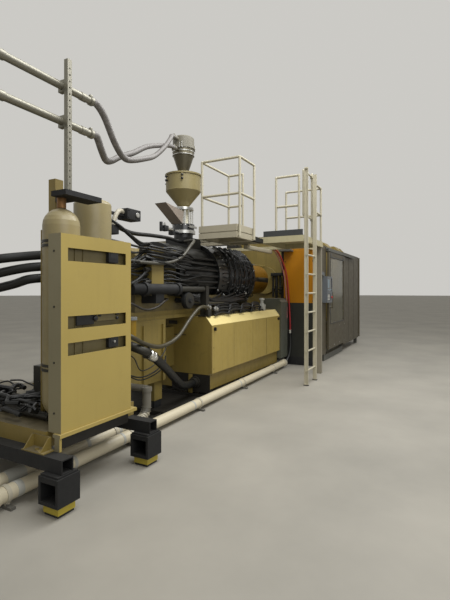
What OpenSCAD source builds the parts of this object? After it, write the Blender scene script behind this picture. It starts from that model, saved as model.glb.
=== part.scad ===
// Injection moulding machine with a hydraulic clamp, accumulators and an access platform.
// +X runs along the machine from the injection unit to the clamp, the operator's side is -Y.
// The origin is on the floor under the middle of the stationary platen.

/* [Injection axis] */
// Height of the injection axis above the floor
axis_h = 1740; // [1700:5:1800]
// Height of the axis over the base's top
axis_over_base = 600; // [590:5:640]
// Height of the platform's deck over the axis
deck_over_axis = 660; // [650:5:700]

/* [Rear supports] */
// Rear end of the machine, along X
rear_x = -7250; // [-7350:10:-7200]
// Side of the square tube of a cross beam
beam_w = 100; // [90:5:110]
// Wall of that tube
beam_wall = 8; // [5:1:12]
// Distance between the two cross beams
beam_gap = 930; // [900:10:960]
// Half of a cross beam's length
beam_half = 1470; // [1440:10:1500]
// Side of a foot block
block_w = 190; // [170:5:200]
// Height of a foot block
block_h = 205; // [190:5:220]
// Side of a levelling pad
pad_w = 145; // [130:5:160]
// Height of a levelling pad
pad_h = 75; // [65:1:85]
// Height of the rear skid over the beams
skid_h = 120; // [110:5:130]
// Sheet of the skid
skid_t = 8; // [6:1:10]

/* [Accumulator rack] */
// Length of the folded guard
rack_l = 736; // [700:4:760]
// Depth of its side flanges
rack_d = 130; // [110:5:140]
// Height of the folded guard
rack_h = 1425; // [1380:5:1450]
// Its sheet thickness
rack_t = 5; // [3:1:8]
// Front face of the guard, along Y
rack_y = -1330; // [-1340:5:-1325]
// Height of the top slot
slot_top_h = 95; // [85:5:105]
// Height of each lower slot
slot_h = 92; // [80:4:100]
// Solid edge beside a slot
slot_edge = 62; // [50:2:80]
// Diameter of the front accumulator bottle
bottle_a_d = 280; // [260:5:290]
// Diameter of the rear accumulator bottle
bottle_b_d = 340; // [320:5:350]
// Top of the front bottle
bottle_a_top = 2160; // [2140:5:2180]
// Top of the rear bottle
bottle_b_top = 2370; // [2330:5:2400]
// Width of a strap
strap_w = 20; // [16:1:26]
// Thickness of a strap
strap_t = 6; // [4:1:8]

/* [Conveying] */
// Side of the strut mast
mast_w = 41; // [38:1:44]
// Top of the strut mast
mast_top = 3330; // [3300:10:3360]
// Diameter of a conveying pipe
conv_d = 60; // [56:1:64]
// Diameter of a flexible conveying hose
flex_d = 64; // [60:1:68]

/* [Injection base] */
// Rear end of the wide base, along X
base_x = -4090; // [-4110:5:-4070]
// Length of the wide base
base_l = 2660; // [2640:5:2680]
// Half of the base's width
base_half = 800; // [780:5:820]
// Length of the rear bed behind the base
bed_l = 950; // [920:10:980]
// Underside of the base
base_z = 100; // [90:2:110]
// Height of the chamfered top edge
chamfer_h = 120; // [100:5:140]
// Depth of the chamfered top edge
chamfer_d = 95; // [80:5:110]
// Height of the kick panel
kick_h = 240; // [220:5:260]
// Sheet of the covers
cover_t = 4; // [3:1:6]
// Plate of the base's frame
plate_t = 20; // [14:1:26]
// Height of a guide rail
rail_h = 110; // [100:2:120]
// Width of a guide rail
rail_w = 90; // [80:2:100]
// Distance between the guide rails' centres
rail_gap = 780; // [740:10:800]

/* [Injection unit] */
// Height of the carriage sled
sled_h = 220; // [200:5:230]
// Diameter of the barrel
barrel_d = 380; // [340:5:400]
// Diameter of the screw
screw_d = 130; // [120:2:140]
// Radial clearance between the screw and its barrel
screw_gap = 1; // [0.5:0.1:2]
// Diameter of the black barrel guard
drum_d = 1060; // [1030:5:1070]
// Length of the black barrel guard
drum_l = 1395; // [1380:5:1410]
// Diameter of the feed section behind it
feed_d = 940; // [920:5:950]
// Sheet of the barrel guard
drum_t = 10; // [6:1:14]
// Stroke of the screw
screw_stroke = 350; // [300:10:360]
// Travel of the whole injection carriage
carriage_stroke = 400; // [350:10:420]
// Diameter of the purge guard
purge_d = 620; // [590:5:640]
// Length of the purge guard
purge_l = 680; // [640:10:690]
// Sheet of the purge guard
purge_t = 8; // [5:1:10]

/* [Hopper] */
// Diameter of the hopper
hopper_d = 553; // [530:1:570]
// Height of the sight section under it
sight_h = 266; // [240:2:300]
// Height of its straight wall
hopper_wall_h = 266; // [250:2:290]
// Height of its cone
hopper_cone_h = 256; // [240:2:290]
// Outlet of the hopper
outlet_d = 150; // [130:2:170]
// Wall of the hopper
hopper_t = 4; // [2:1:6]
// Diameter of the vacuum loader
loader_d = 340; // [320:2:360]

/* [Clamp] */
// Thickness of the stationary platen
platen_t = 500; // [450:10:520]
// Width and height of a platen
platen_w = 2000; // [1940:10:2040]
// Diameter of a tie bar
tie_d = 200; // [180:5:220]
// Distance between tie bar centres
tie_gap = 1520; // [1480:10:1560]
// Mould space with the clamp open
daylight = 1200; // [1150:10:1250]
// Thickness of the moving platen
moving_t = 450; // [400:10:480]
// Stroke of the moving platen
clamp_stroke = 550; // [500:10:560]
// Diameter of the clamp ram
ram_d = 500; // [460:10:520]
// Diameter of the locating bore in the stationary platen
locating_d = 250; // [240:1:260]
// Depth of the locating bore
locating_depth = 30; // [25:1:40]
// Distance between the mould bolt holes
bolt_gap = 700; // [660:10:740]
// Diameter of a mould bolt hole
bolt_d = 32; // [28:1:38]
// Height of the clamp base
clamp_base_h = 540; // [500:5:560]
// Travel of the ejector plate
eject_stroke = 150; // [120:5:160]

/* [Guards] */
// Outer face of the clamp guards, along -Y
guard_y = 1400; // [1380:5:1420]
// Top of the clamp guards
guard_top = 2460; // [2420:5:2480]
// Sheet of a guard panel
guard_t = 30; // [20:1:36]
// Length of the operator gate
gate_l = 1560; // [1500:10:1600]
// Travel of the gates
gate_stroke = 1200; // [1100:10:1250]

/* [Access] */
// Height of the deck's edge beams
deck_h = 100; // [80:5:105]
// Height of the toe board
toe_h = 95; // [80:5:110]
// Height of the hand rail over the deck
rail_over = 1110; // [1050:10:1150]
// Height of the landing's own hand rail over the deck
landing_rail = 970; // [940:10:1050]
// Diameter of the railing tube
tube_d = 38; // [34:1:44]
// Distance between the ladder's rungs
rung_gap = 309; // [300:1:315]
// Height of the lowest rung
first_rung = 232; // [225:1:240]
// Clear width between the ladder's stiles
ladder_w = 450; // [430:5:480]
// Depth of a stile
stile_d = 60; // [50:2:70]
// Width of a stile
stile_w = 28; // [24:1:34]

/* [Water pipes] */
// Diameter of a water pipe
water_d = 114; // [108:1:120]
// Wall of a water pipe
water_wall = 6; // [4:1:8]
// Height of a water pipe's centre
water_z = 92; // [84:1:96]

/* [Hidden] */
$fn = 64;

fit = 0.3;
slide_gap = 0.4;
base_top = axis_h - axis_over_base;
deck_z = axis_h + deck_over_axis;
beam_z = pad_h + block_h;
beam_top = beam_z + beam_w;
beam_xs = [rear_x + beam_w / 2, rear_x + beam_w / 2 + beam_gap];
foot_y = beam_half - 80;
skid_top = beam_top + skid_h;
skid_x = rear_x + 100;
skid_l = beam_gap + 20;
skid_half = -rack_y - rack_d - 10;
rack_x = rear_x + 114;
bottle_a = [rack_x + 236, rack_y + rack_d + bottle_a_d / 2];
bottle_b = [rack_x + rack_l + 80, bottle_a[1] + 260];
bottle_foot = skid_top + 30;
strap_zs = [900, 1850];
strap_lug = 40;
tray_z = bottle_a_top + 80;
tray_h = 40;
tray_x = [rack_x + 146, rack_x + 516];
tray_y = [bottle_a[1] - 150, bottle_a[1] + 10];
post = [rack_x + 342, bottle_a[1] + 190];
post_w = 80;
mast = [rack_x + 264, bottle_a[1] - 40];
conv_y = mast[1] + mast_w / 2 + conv_d / 2 + 2;
conv_zs = [mast_top - 200, mast_top - 480];
conv_end = mast[0] + 308;
conv_rear = rear_x - 250;
hopper_x = base_x + 480;
bed_x = base_x - 1560;
bed_half = 450;
bed_leg_xs = [bed_x + 120, bed_x + bed_l - 120];
bed_z = 350;
rail_z = base_top;
sled_z = rail_z + rail_h + fit;
sled_top = sled_z + sled_h;
housing_x0 = base_x - 1160;
housing_x1 = base_x - 690;
feed_x0 = base_x - 310;
drum_x = base_x + 710;
drum_end = drum_x + drum_l;
barrel_end = base_x + 2910;
platen_x0 = -platen_t / 2;
platen_x1 = platen_t / 2;
clamp_z = base_z + clamp_base_h;
moving_x0 = platen_x1 + daylight;
moving_x1 = moving_x0 + moving_t;
cylinder_x0 = moving_x1 + 700;
cylinder_x1 = cylinder_x0 + 700;
guard_x0 = -1000;
gate_x0 = platen_x0 + 50;
landing_x0 = base_x + 1370;
landing_y0 = -1695;
landing_y1 = -940;
landing_x1 = landing_x0 + 1150;
deck_x0 = base_x + 400;
deck_x1 = landing_x0;
deck_y0 = -990;
deck_y1 = -336;
deck_notch = [deck_x1 - 370, -930];
deck_leg_y = base_half + 140;
far_y = deck_leg_y + 80;
ladder_x = landing_x0 + 255;

// A block between two corners
module block(lo, hi) {
  translate(lo) cube([hi[0] - lo[0], hi[1] - lo[1], hi[2] - lo[2]]);
}

// Round bars along each axis
module rod_x(x0, x1, y, z, d) {
  translate([x0, y, z]) rotate([0, 90, 0]) cylinder(d = d, h = x1 - x0);
}

module rod_y(x, y0, y1, z, d) {
  translate([x, y0, z]) rotate([-90, 0, 0]) cylinder(d = d, h = y1 - y0);
}

module rod_z(x, y, z0, z1, d) {
  translate([x, y, z0]) cylinder(d = d, h = z1 - z0);
}

// Both sides of the machine's middle plane
module both_sides() {
  children();
  mirror([0, 1, 0]) children();
}

// A hexagon bolt head standing on a face at z = 0
module bolt_head(d = 24) {
  cylinder(d = d * 1.6, h = 2);
  translate([0, 0, 2]) cylinder(d = d * 1.3, h = d * 0.6, $fn = 6);
}

// A bent bar with a round bend
module elbow(d, bend, angle) {
  rotate_extrude(angle = angle) translate([bend, 0]) circle(d = d);
}

// Smooth curve through the points of a hose, with k steps in each stretch
function curve_point(a, b, c, d, t) =
  0.5 * ((2 * b) + (c - a) * t + (2 * a - 5 * b + 4 * c - d) * t * t + (3 * b - a - 3 * c + d) * t * t * t);
function smooth(p, k) = let (n = len(p)) [
  for (i = [0 : n - 2], j = [0 : k - 1])
    curve_point(p[max(i - 1, 0)], p[i], p[i + 1], p[min(i + 2, n - 1)], j / k),
  p[n - 1]
];
function unit(v) = v / norm(v);

// A hose swept through its points, up is a direction that it never runs along
module hose(points, d, k = 2, sides = 8, up = [0.03, 0.07, 1]) {
  path = smooth(points, k);
  n = len(path);
  ring = [
    for (i = [0 : n - 1])
      let (
        t = i == 0 ? unit(points[1] - points[0]) :
          i == n - 1 ? unit(points[len(points) - 1] - points[len(points) - 2]) : unit(path[i + 1] - path[i - 1]),
        u = unit(cross(t, up)),
        v = cross(t, u)
      )
      for (s = [0 : sides - 1]) path[i] + d / 2 * (cos(360 * s / sides) * u + sin(360 * s / sides) * v)
  ];
  walls = [
    for (i = [0 : n - 2], s = [0 : sides - 1])
      let (a = i * sides + s, b = i * sides + (s + 1) % sides)
      each [[a, a + sides, b], [b, a + sides, b + sides]]
  ];
  first = [for (s = [0 : sides - 1]) s];
  last = [for (s = [0 : sides - 1]) n * sides - 1 - s];
  polyhedron(points = ring, faces = concat(walls, [first], [last]), convexity = 6);
}

// Rear supports

module cross_beams() {
  color("#17191b")
  for (x = beam_xs)
    difference() {
      block([x - beam_w / 2, -beam_half, beam_z], [x + beam_w / 2, beam_half, beam_top]);
      translate([0, -1, 0])
        block([x - beam_w / 2 + beam_wall, -beam_half, beam_z + beam_wall],
          [x + beam_w / 2 - beam_wall, beam_half + 2, beam_top - beam_wall]);
    }
}

module foot_blocks() {
  color("#17191b")
  for (x = beam_xs, y = [-foot_y, foot_y])
    translate([x, y, pad_h])
      difference() {
        union() {
          translate([-block_w / 2, -block_w / 2, 0]) cube([block_w, block_w, block_h - 14]);
          translate([-block_w / 2 + 10, -block_w / 2 + 10, block_h - 14])
            cube([block_w - 20, block_w - 20, 14]);
        }
        // Open end of the tube that the block is cut from
        block([-block_w / 2 - 1, -block_w / 2 + 22, 24], [block_w / 2 - 14, block_w / 2 - 22, block_h - 52]);
      }
}

// One wedge mount: a rubber foot, a body and a screwed top
module wedge_mount(w, h) {
  translate([-w / 2 + 6, -w / 2 + 6, 0]) cube([w - 12, w - 12, 18]);
  translate([-w / 2, -w / 2, 18]) cube([w, w, h - 18]);
}

pad_places = concat(
  [for (x = beam_xs, y = [-foot_y, foot_y]) [x, y, pad_h]],
  [for (x = bed_leg_xs, y = [-bed_half + 110, bed_half - 110]) [x, y, base_z]],
  [for (x = [base_x + 150, base_x + base_l / 2, base_x + base_l - 150],
    y = [-base_half + 190, base_half - 190]) [x, y, base_z]],
  [for (x = [platen_x0 - 60, 0, moving_x0 + 200, cylinder_x1 - 120], y = [-700, 700]) [x, y, base_z]],
  [[0, 0, base_z]]
);

module levelling_pads() {
  color("#bda628")
  for (p = pad_places) translate([p[0], p[1], 0]) wedge_mount(pad_w, p[2]);
}

module rear_skid() {
  color("#a89a68") {
    difference() {
      block([skid_x, -skid_half, beam_top], [skid_x + skid_l, skid_half, skid_top]);
      block([skid_x + skid_t, -skid_half + skid_t, beam_top - 1],
        [skid_x + skid_l - skid_t, skid_half - skid_t, skid_top - skid_t]);
    }
    // Side channels that tie the skid to the bed
    both_sides()
      difference() {
        block([skid_x + skid_l, -360, beam_top], [bed_x, -280, skid_top]);
        block([skid_x + skid_l - 1, -361, beam_top + skid_t],
          [bed_x + 1, -280 - skid_t, skid_top - skid_t]);
      }
    // Cradles that hold the skid's end on the rear cross beam
    both_sides() {
      block([rear_x + 5, -skid_half - 90, beam_top], [skid_x, -skid_half + 140, beam_top + 8]);
      block([skid_x - 8, -skid_half, beam_top], [skid_x, -skid_half + 140, beam_top + 94]);
      for (y = [-skid_half - 60, -skid_half + 116])
        translate([0, y + 8, 0]) rotate([90, 0, 0]) linear_extrude(8)
          polygon([[rear_x + 8, beam_top + 8], [skid_x - 8, beam_top + 8], [skid_x - 8, beam_top + 94],
            [skid_x - 22, beam_top + 94]]);
      block([skid_x - 8, -skid_half - 60, beam_top], [skid_x, -skid_half, beam_top + 94]);
      translate([rear_x + 45, -skid_half + 24, beam_top + 8]) bolt_head(22);
    }
    // Uprights that the bottle straps tie to
    for (b = [[bottle_a, bottle_a_d], [bottle_b, bottle_b_d]])
      block([b[0][0] - 40, b[0][1] + b[1] / 2 + strap_lug + fit, skid_top],
        [b[0][0] + 40, b[0][1] + b[1] / 2 + strap_lug + 12, strap_zs[1] + 150]);
    // Post that carries the tray
    difference() {
      block([post[0] - post_w / 2, post[1] - post_w / 2, skid_top],
        [post[0] + post_w / 2, post[1] + post_w / 2, tray_z + 190]);
      block([post[0] - post_w / 2 + 5, post[1] - post_w / 2 + 5, skid_top + 10],
        [post[0] + post_w / 2 - 5, post[1] + post_w / 2 - 5, tray_z + 185]);
    }
  }
}

module accumulator_rack() {
  z0 = skid_top;
  slots = [[rack_h - 195, slot_top_h], [738, slot_h], [544, slot_h]];
  color("#a3925a") {
    difference() {
      block([rack_x, rack_y, z0], [rack_x + rack_l, rack_y + rack_d, z0 + rack_h]);
      block([rack_x + rack_t, rack_y + rack_t, z0 - 1],
        [rack_x + rack_l - rack_t, rack_y + rack_d + 1, z0 + rack_h - rack_t]);
      for (s = slots)
        block([rack_x + slot_edge, rack_y - 1, z0 + s[0]],
          [rack_x + rack_l - slot_edge, rack_y + rack_t + 1, z0 + s[0] + s[1]]);
    }
    // Base angle under the guard, with a turned-down bracket at its right end
    block([rack_x - 20, rack_y - 14, z0 - 26], [rack_x + rack_l + 62, rack_y + 60, z0]);
    block([rack_x - 20, rack_y + 30, beam_top], [rack_x + rack_l, rack_y + 42, z0 - 26]);
    block([rack_x - 20, rack_y - 8, beam_top], [rack_x, rack_y + 30, z0 - 26]);
    block([rack_x + rack_l - 50, rack_y + 42, z0 - 90],
      [rack_x + rack_l - 10, rack_y + rack_d - 10.3, z0 - 26]);
    // Bolt heads along the top edge
    for (x = [rack_l - 340, rack_l - 300, rack_l - 90, rack_l - 66])
      translate([rack_x + x, rack_y + 30, z0 + rack_h]) bolt_head(10);
  }
}

// Quarter of a dished head, from angle a0 to a1 of an ellipse
function dish(r, z, h, a0, a1) = [
  for (k = [0 : 6])
    let (a = a0 + (a1 - a0) * k / 6)
    [r * cos(a), z + h * sin(a)]
];

// A bottle standing on its neck, with a dished head of height h at each end
module bottle(at, d, top, h) {
  r = d / 2;
  translate([at[0], at[1], 0]) rotate_extrude()
    polygon(concat([[0, skid_top + 0.5], [55, skid_top + 0.5]], dish(r, bottle_foot + h, h, -66, 0),
      dish(r, top - h, h, 0, 90)));
}

module accumulator_bottles() {
  color("#a9a182") {
    bottle(bottle_a, bottle_a_d, bottle_a_top, bottle_a_d / 2);
    bottle(bottle_b, bottle_b_d, bottle_b_top, 60);
  }
}

// A double strap round a bottle with the lug that ties it back
module double_strap(at, d, z, lug) {
  gap = strap_w + 14;
  for (k = [0, 1])
    translate([at[0], at[1], z + k * gap])
      difference() {
        union() {
          cylinder(d = d + 2 * fit + 2 * strap_t, h = strap_w);
          translate([-16, 0, 0]) cube([32, d / 2 + lug, strap_w]);
        }
        translate([0, 0, -1]) cylinder(d = d + 2 * fit, h = strap_w + 2);
      }
}

module bottle_clamps() {
  color("#232425")
  for (z = strap_zs) {
    double_strap(bottle_a, bottle_a_d, z, strap_lug);
    double_strap(bottle_b, bottle_b_d, z, strap_lug);
  }
}

// Valve block on the skid between the bottles, and the headers that the thick hoses leave
valve = [bottle_b[0] - 250, bottle_b[1] + 250];
near_header = [valve[0] - 50, valve[1] - 230];
near_header_z = axis_h - 190;
far_header = [rear_x + 50, skid_half - 260];
far_header_z = axis_h - 560;
feed_header = [skid_x + skid_l - 100, bottle_b[1] + 230];
feed_top = axis_h + 400;
lever_l = 140;

module accumulator_manifold() {
  x = valve[0];
  y = valve[1];
  color("#3c3d3b") {
    block([x - 110, y - 110, skid_top], [x + 110, y + 110, skid_top + 340]);
    rod_y(x, y - 150, y - 110, skid_top + 240, 90);
    rod_z(x, y, skid_top + 340, skid_top + 400, 70);
    rod_x(x - 150, x - 110, y, skid_top + 160, 110);
    rod_z(x, y, skid_top + 400, skid_top + 440, 24);
    // Near header on its post
    block([near_header[0] - 40, near_header[1] - 20, skid_top], [near_header[0] + 20, near_header[1] + 60,
      near_header_z]);
    block([near_header[0], near_header[1], near_header_z], [near_header[0] + 60, near_header[1] + 180,
      near_header_z + 380]);
    // Far header
    block([skid_x + 60, far_header[1], skid_top], [skid_x + 140, far_header[1] + 60, far_header_z]);
    block([far_header[0], far_header[1], far_header_z], [far_header[0] + 260, far_header[1] + 60,
      far_header_z + 350]);
    // Header that feeds the injection unit
    block([feed_header[0], feed_header[1], skid_top], [feed_header[0] + 80, feed_header[1] + 100, feed_top]);
  }
}

module shutoff_lever() {
  x = valve[0];
  y = valve[1];
  z = skid_top + 400 + fit;
  color("#8c2d20")
  difference() {
    union() {
      rod_z(x, y, z, z + 24, 46);
      block([x - 12, y - lever_l, z + 4], [x + 12, y, z + 16]);
      rod_z(x, y - lever_l, z + 4, z + 16, 24);
    }
    rod_z(x, y, z - 1, z + 25, 24.1);
  }
}

module top_tray() {
  color("#2b2d2f") {
    difference() {
      block([tray_x[0], tray_y[0], tray_z], [tray_x[1], tray_y[1], tray_z + tray_h]);
      block([tray_x[0] + 6, tray_y[0] + 6, tray_z + 6], [tray_x[1] - 6, tray_y[1] - 6, tray_z + tray_h + 1]);
    }
    block([post[0] - post_w / 2, tray_y[1], tray_z], [post[0] + post_w / 2, post[1] - post_w / 2, tray_z + tray_h]);
    // Valve cap on top of the front bottle
    rod_z(bottle_a[0], bottle_a[1], bottle_a_top + fit, tray_z, 70);
  }
}

// One conveying pipe with its rear coupling and its clamp against the strut
module conveying_pipe(z) {
  difference() {
    union() {
      rod_x(conv_rear, conv_end, conv_y, z, conv_d);
      rod_x(conv_rear, conv_rear + 120, conv_y, z, conv_d + 12);
      block([mast[0] - 20, mast[1] + mast_w / 2 - 1, z - conv_d / 2 - 16],
        [mast[0] + 20, conv_y + conv_d / 2 + 6, z + conv_d / 2 + 16]);
    }
    rod_x(conv_rear - 1, conv_end + 1, conv_y, z, conv_d - 6);
  }
}

module conveying_mast() {
  z0 = tray_z + 6;
  w = mast_w / 2;
  color("#8a8f93") {
    difference() {
      union() {
        block([mast[0] - w, mast[1] - w, z0], [mast[0] + w, mast[1] + w, mast_top]);
        block([mast[0] - 70, mast[1] - 42, z0], [mast[0] + 70, mast[1] + 42, z0 + 10]);
      }
      block([mast[0] - w + 3, mast[1] - w + 3, z0 + 12], [mast[0] + w - 3, mast[1] + w + 1, mast_top + 1]);
      for (z = [z0 + 60 : 50 : mast_top - 30])
        rod_y(mast[0], mast[1] - w - 1, mast[1], z, 14);
    }
    for (z = conv_zs) conveying_pipe(z);
  }
}

// Routes of the two conveying hoses from the pipe ends to the loader
hose_a_points = [
  [-6564, -1048, 3130], [-6515, -1048, 3130], [-6395, -1022, 3068], [-6210, -965, 2915], [-6020, -890, 2850],
  [-5820, -815, 2870], [-5353, -639, 3041], [-4884, -414, 3239], [-4507, -285, 3480], [-4166, -143, 3730],
  [-3976, -31, 3853], [-3880, 0, 3880], [-3821, 0, 3880]
];
hose_b_points = [
  [-6564, -1048, 2850], [-6515, -1048, 2850], [-6380, -970, 2785], [-6200, -850, 2760], [-6040, -770, 2810],
  [-5841, -700, 2916], [-5489, -580, 3078], [-5051, -420, 3303], [-4489, -200, 3527], [-4120, -50, 3662],
  [-3940, 0, 3714], [-3870, 0, 3718], [-3821, 0, 3718]
];

module loader_hose_a() {
  color("#8b8d98") hose(hose_a_points, flex_d, 2, 10);
}

module loader_hose_b() {
  color("#8b8d98") hose(hose_b_points, flex_d, 2, 10);
}

// Injection base

module rear_bed() {
  x1 = bed_x + bed_l;
  wall = plate_t * 3;
  color("#8d8150") {
    difference() {
      block([bed_x, -bed_half, bed_z], [x1, bed_half, rail_z]);
      block([bed_x - 1, -bed_half + wall, bed_z - 1], [x1 + 1, bed_half - wall, rail_z - 140]);
    }
    for (x = bed_leg_xs, s = [-1, 1])
      translate([x - 80, s * (bed_half - 110) - 80, base_z]) cube([160, 160, bed_z - base_z]);
    // Narrow neck that joins the bed to the wide base
    block([x1, -150, bed_z + 60], [base_x, 150, rail_z - 160]);
    block([x1 - 60, -bed_half + wall, bed_z + 60], [x1, bed_half - wall, rail_z - 140]);
    // Side ribs
    both_sides()
      for (x = [bed_x + 60, bed_x + bed_l / 2, x1 - 84])
        block([x, -bed_half - 24, bed_z], [x + 24, -bed_half, rail_z - 60]);
  }
}

// Section of the base across the machine, seen along X, without its covers
module base_section(inset) {
  h = base_half - inset;
  c = chamfer_d;
  polygon([
    [-h, base_z + kick_h], [-h, base_top - chamfer_h], [-h + c, base_top - inset], [h - c, base_top - inset],
    [h, base_top - chamfer_h], [h, base_z + kick_h], [h - 60, base_z + kick_h], [h - 60, base_z],
    [-h + 60, base_z], [-h + 60, base_z + kick_h]
  ]);
}

module along_x(x0, x1) {
  translate([x0, 0, 0]) rotate([90, 0, 90]) linear_extrude(x1 - x0) children();
}

bay_x0 = base_x + 160;
bay_x1 = base_x + base_l - 160;
bay_y1 = 100;

module injection_base() {
  x1 = base_x + base_l;
  color("#9c8f5c")
  difference() {
    union() {
      along_x(base_x, x1) base_section(0);
    }
    // Recess of the front cover
    along_x(base_x + plate_t, x1 - plate_t)
      polygon([
        [-base_half - 1, base_z + kick_h], [-base_half - 1, base_top - chamfer_h],
        [-base_half + chamfer_d, base_top + 1], [-base_half + chamfer_d, base_top - cover_t - fit],
        [-base_half + cover_t + fit, base_top - chamfer_h - 2], [-base_half + cover_t + fit, base_z + kick_h]
      ]);
    // Pump bay behind the cover
    block([bay_x0, -base_half - 2, base_z + kick_h + 20], [bay_x1, bay_y1, base_top - chamfer_h - 40]);
    // Grip recess in the end face
    block([base_x - 1, -330, base_top - 110], [base_x + 12, -200, base_top - 75]);
  }
}

// One folded sheet: the front and the chamfer over it
module front_cover() {
  y = -base_half;
  color("#b0a268")
  along_x(base_x + plate_t + fit, base_x + base_l - plate_t - fit)
    polygon([
      [y, base_z + kick_h + fit], [y, base_top - chamfer_h], [y + chamfer_d, base_top],
      [y + chamfer_d, base_top - cover_t], [y + cover_t, base_top - chamfer_h - 2],
      [y + cover_t, base_z + kick_h + fit]
    ]);
}

module kick_panel() {
  y = -base_half + 60 - cover_t;
  color("#8d8150") {
    block([base_x + 10, y, base_z + 6], [base_x + base_l - 10, y + cover_t - fit, base_z + kick_h - fit]);
    for (x = [base_x + 90 : 413 : base_x + base_l - 60])
      translate([x, y, base_z + kick_h - 40]) rotate([90, 0, 0]) cylinder(d = 18, h = 6);
  }
}

// A quarter-turn latch on the cover: a round seat and a wing
latch_z = base_top - chamfer_h - 55;
latch_xs = [base_x + 80, base_x + base_l - 90];

module cover_latch(x) {
  y = -base_half - fit;
  color("#111213") {
    rod_y(x, y - 10, y, latch_z, 52);
    block([x - 8, y - 30, latch_z - 24], [x + 8, y - 10, latch_z + 24]);
  }
}

module cover_latch_left() {
  cover_latch(latch_xs[0]);
}

module cover_latch_right() {
  cover_latch(latch_xs[1]);
}

bay_z = base_z + kick_h + 20;
shaft_z = bay_z + 260;
pump_y = -base_half + 330;
motor_x1 = bay_x0 + 980;
pump_x0 = motor_x1 + 190;
tank_x0 = pump_x0 + 420;

module power_pack() {
  color("#3b6377") {
    // Motor on its feet with cooling ribs
    rod_x(bay_x0 + 120, motor_x1 - 60, pump_y, shaft_z, 400);
    for (x = [bay_x0 + 260 : 110 : motor_x1 - 200]) rod_x(x, x + 20, pump_y, shaft_z, 430);
    rod_x(motor_x1 - 60, motor_x1 - 40, pump_y, shaft_z, 440);
    rod_x(motor_x1 - 60, motor_x1, pump_y, shaft_z, 60);
    for (x = [bay_x0 + 260, motor_x1 - 240])
      block([x, pump_y - 170, bay_z], [x + 90, pump_y + 170, shaft_z - 150]);
  }
  color("#4b4e50") {
    rod_x(pump_x0, pump_x0 + 320, pump_y, shaft_z, 220);
    rod_x(pump_x0 - 40, pump_x0, pump_y, shaft_z, 60);
    block([pump_x0 + 60, pump_y - 110, bay_z], [pump_x0 + 200, pump_y + 110, shaft_z - 80]);
  }
  // Oil tank with its filler
  color("#7d8288") {
    block([tank_x0, -base_half + 120, bay_z], [bay_x1 - 60, bay_y1 - 60, bay_z + 470]);
    rod_z(tank_x0 + 160, -base_half + 260, bay_z + 470, bay_z + 520, 120);
    rod_x(pump_x0 + 320, tank_x0, pump_y, shaft_z, 70);
  }
}

module pump_coupling() {
  color("#b8762c")
  difference() {
    rod_x(motor_x1 - 30, pump_x0 - 10, pump_y, shaft_z, 150);
    rod_x(motor_x1 - 31, pump_x0 - 9, pump_y, shaft_z, 60.1);
  }
}

module guide_rails() {
  color("#5f5f58")
  both_sides()
    difference() {
      block([bed_x + 20, -rail_gap / 2 - rail_w / 2, rail_z], [base_x + base_l - 20, -rail_gap / 2 + rail_w / 2,
        rail_z + rail_h]);
      for (s = [-1, 1])
        block([bed_x + 19, -rail_gap / 2 + s * rail_w / 2 - 12, rail_z + rail_h * 0.4],
          [base_x + base_l - 19, -rail_gap / 2 + s * rail_w / 2 + 12, rail_z + rail_h * 0.65]);
    }
}

// Water pipes along the floor, a little askew to the machine

water_skew = 1.3;
water_front = [-1450, -870];
water_rear = -6050;
water_ends = [0, -4250];
water_offset = [0, 210];
water_bend = 150;
water_collar = 100;

module water_frame(k) {
  translate([water_front[0], water_front[1], water_z]) rotate([0, 0, water_skew])
    translate([water_ends[k], water_offset[k], 0]) children();
}

module water_pipes() {
  color("#d8d2c2")
  for (k = [0, 1])
    water_frame(k)
      difference() {
        union() {
          rod_x(water_rear - water_ends[k], 0, 0, 0, water_d);
          // Collar that the next pipe's coupling grips
          rod_x(water_rear - water_ends[k], water_rear - water_ends[k] + water_collar, 0, 0, water_d + 12);
        }
        rod_x(water_rear - water_ends[k] - 1, 1, 0, 0, water_d - 2 * water_wall);
      }
}

// Saddles across both pipes, the front pipe's coupling and the rear pipe's corrugated elbow
module pipe_fittings() {
  riser = water_bend + 90;
  color("#5a5f63") {
    water_frame(0) {
      rod_x(fit, 90, 0, 0, water_d + 24);
      for (x = [water_rear + 160 : 1330 : -200])
        difference() {
          union() {
            y1 = x < water_ends[1] ? water_offset[1] : 0;
            block([x - 20, -water_d / 2 - 34, -water_z], [x + 20, y1 + water_d / 2 + 34, -water_z + 20]);
            for (y = [0, y1]) {
              rod_x(x - 16, x + 16, y, 0, water_d + 14);
              block([x - 16, y - 30, -water_z + 1], [x + 16, y + 30, -40]);
            }
          }
          for (y = [0, water_offset[1]]) rod_x(x - 21, x + 21, y, 0, water_d + 2 * fit);
        }
    }
    water_frame(1) {
      rod_x(fit, 90, 0, 0, water_d + 6);
      translate([90, 0, water_bend]) rotate([90, 0, 0]) rotate([0, 0, -90]) {
        elbow(96, water_bend, 90);
        for (a = [12 : 13 : 80])
          rotate([0, 0, a]) translate([water_bend, 4, 0]) rotate([90, 0, 0]) cylinder(d = 112, h = 8);
      }
      rod_z(riser, 0, water_bend, 300, 96);
      rod_z(riser, 0, 296, 340, 116);
    }
    // Branch into the side of the bed
    difference() {
      translate([water_front[0], water_front[1], 0]) rotate([0, 0, water_skew])
        rod_y(water_ends[1] + riser, water_offset[1], water_offset[1] + 400, water_z + 320, 80);
      block([bed_x, -bed_half - fit, 0], [base_x, bed_half, rail_z]);
    }
  }
}

// Clamp

tie_places = [for (y = [-1, 1], z = [-1, 1]) [y * tie_gap / 2, axis_h + z * tie_gap / 2]];
mould_bolts = [for (y = [-1, 1], z = [-1, 1]) [y * bolt_gap / 2, axis_h + z * bolt_gap / 2]];
platen_top = axis_h + platen_w / 2;

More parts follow.
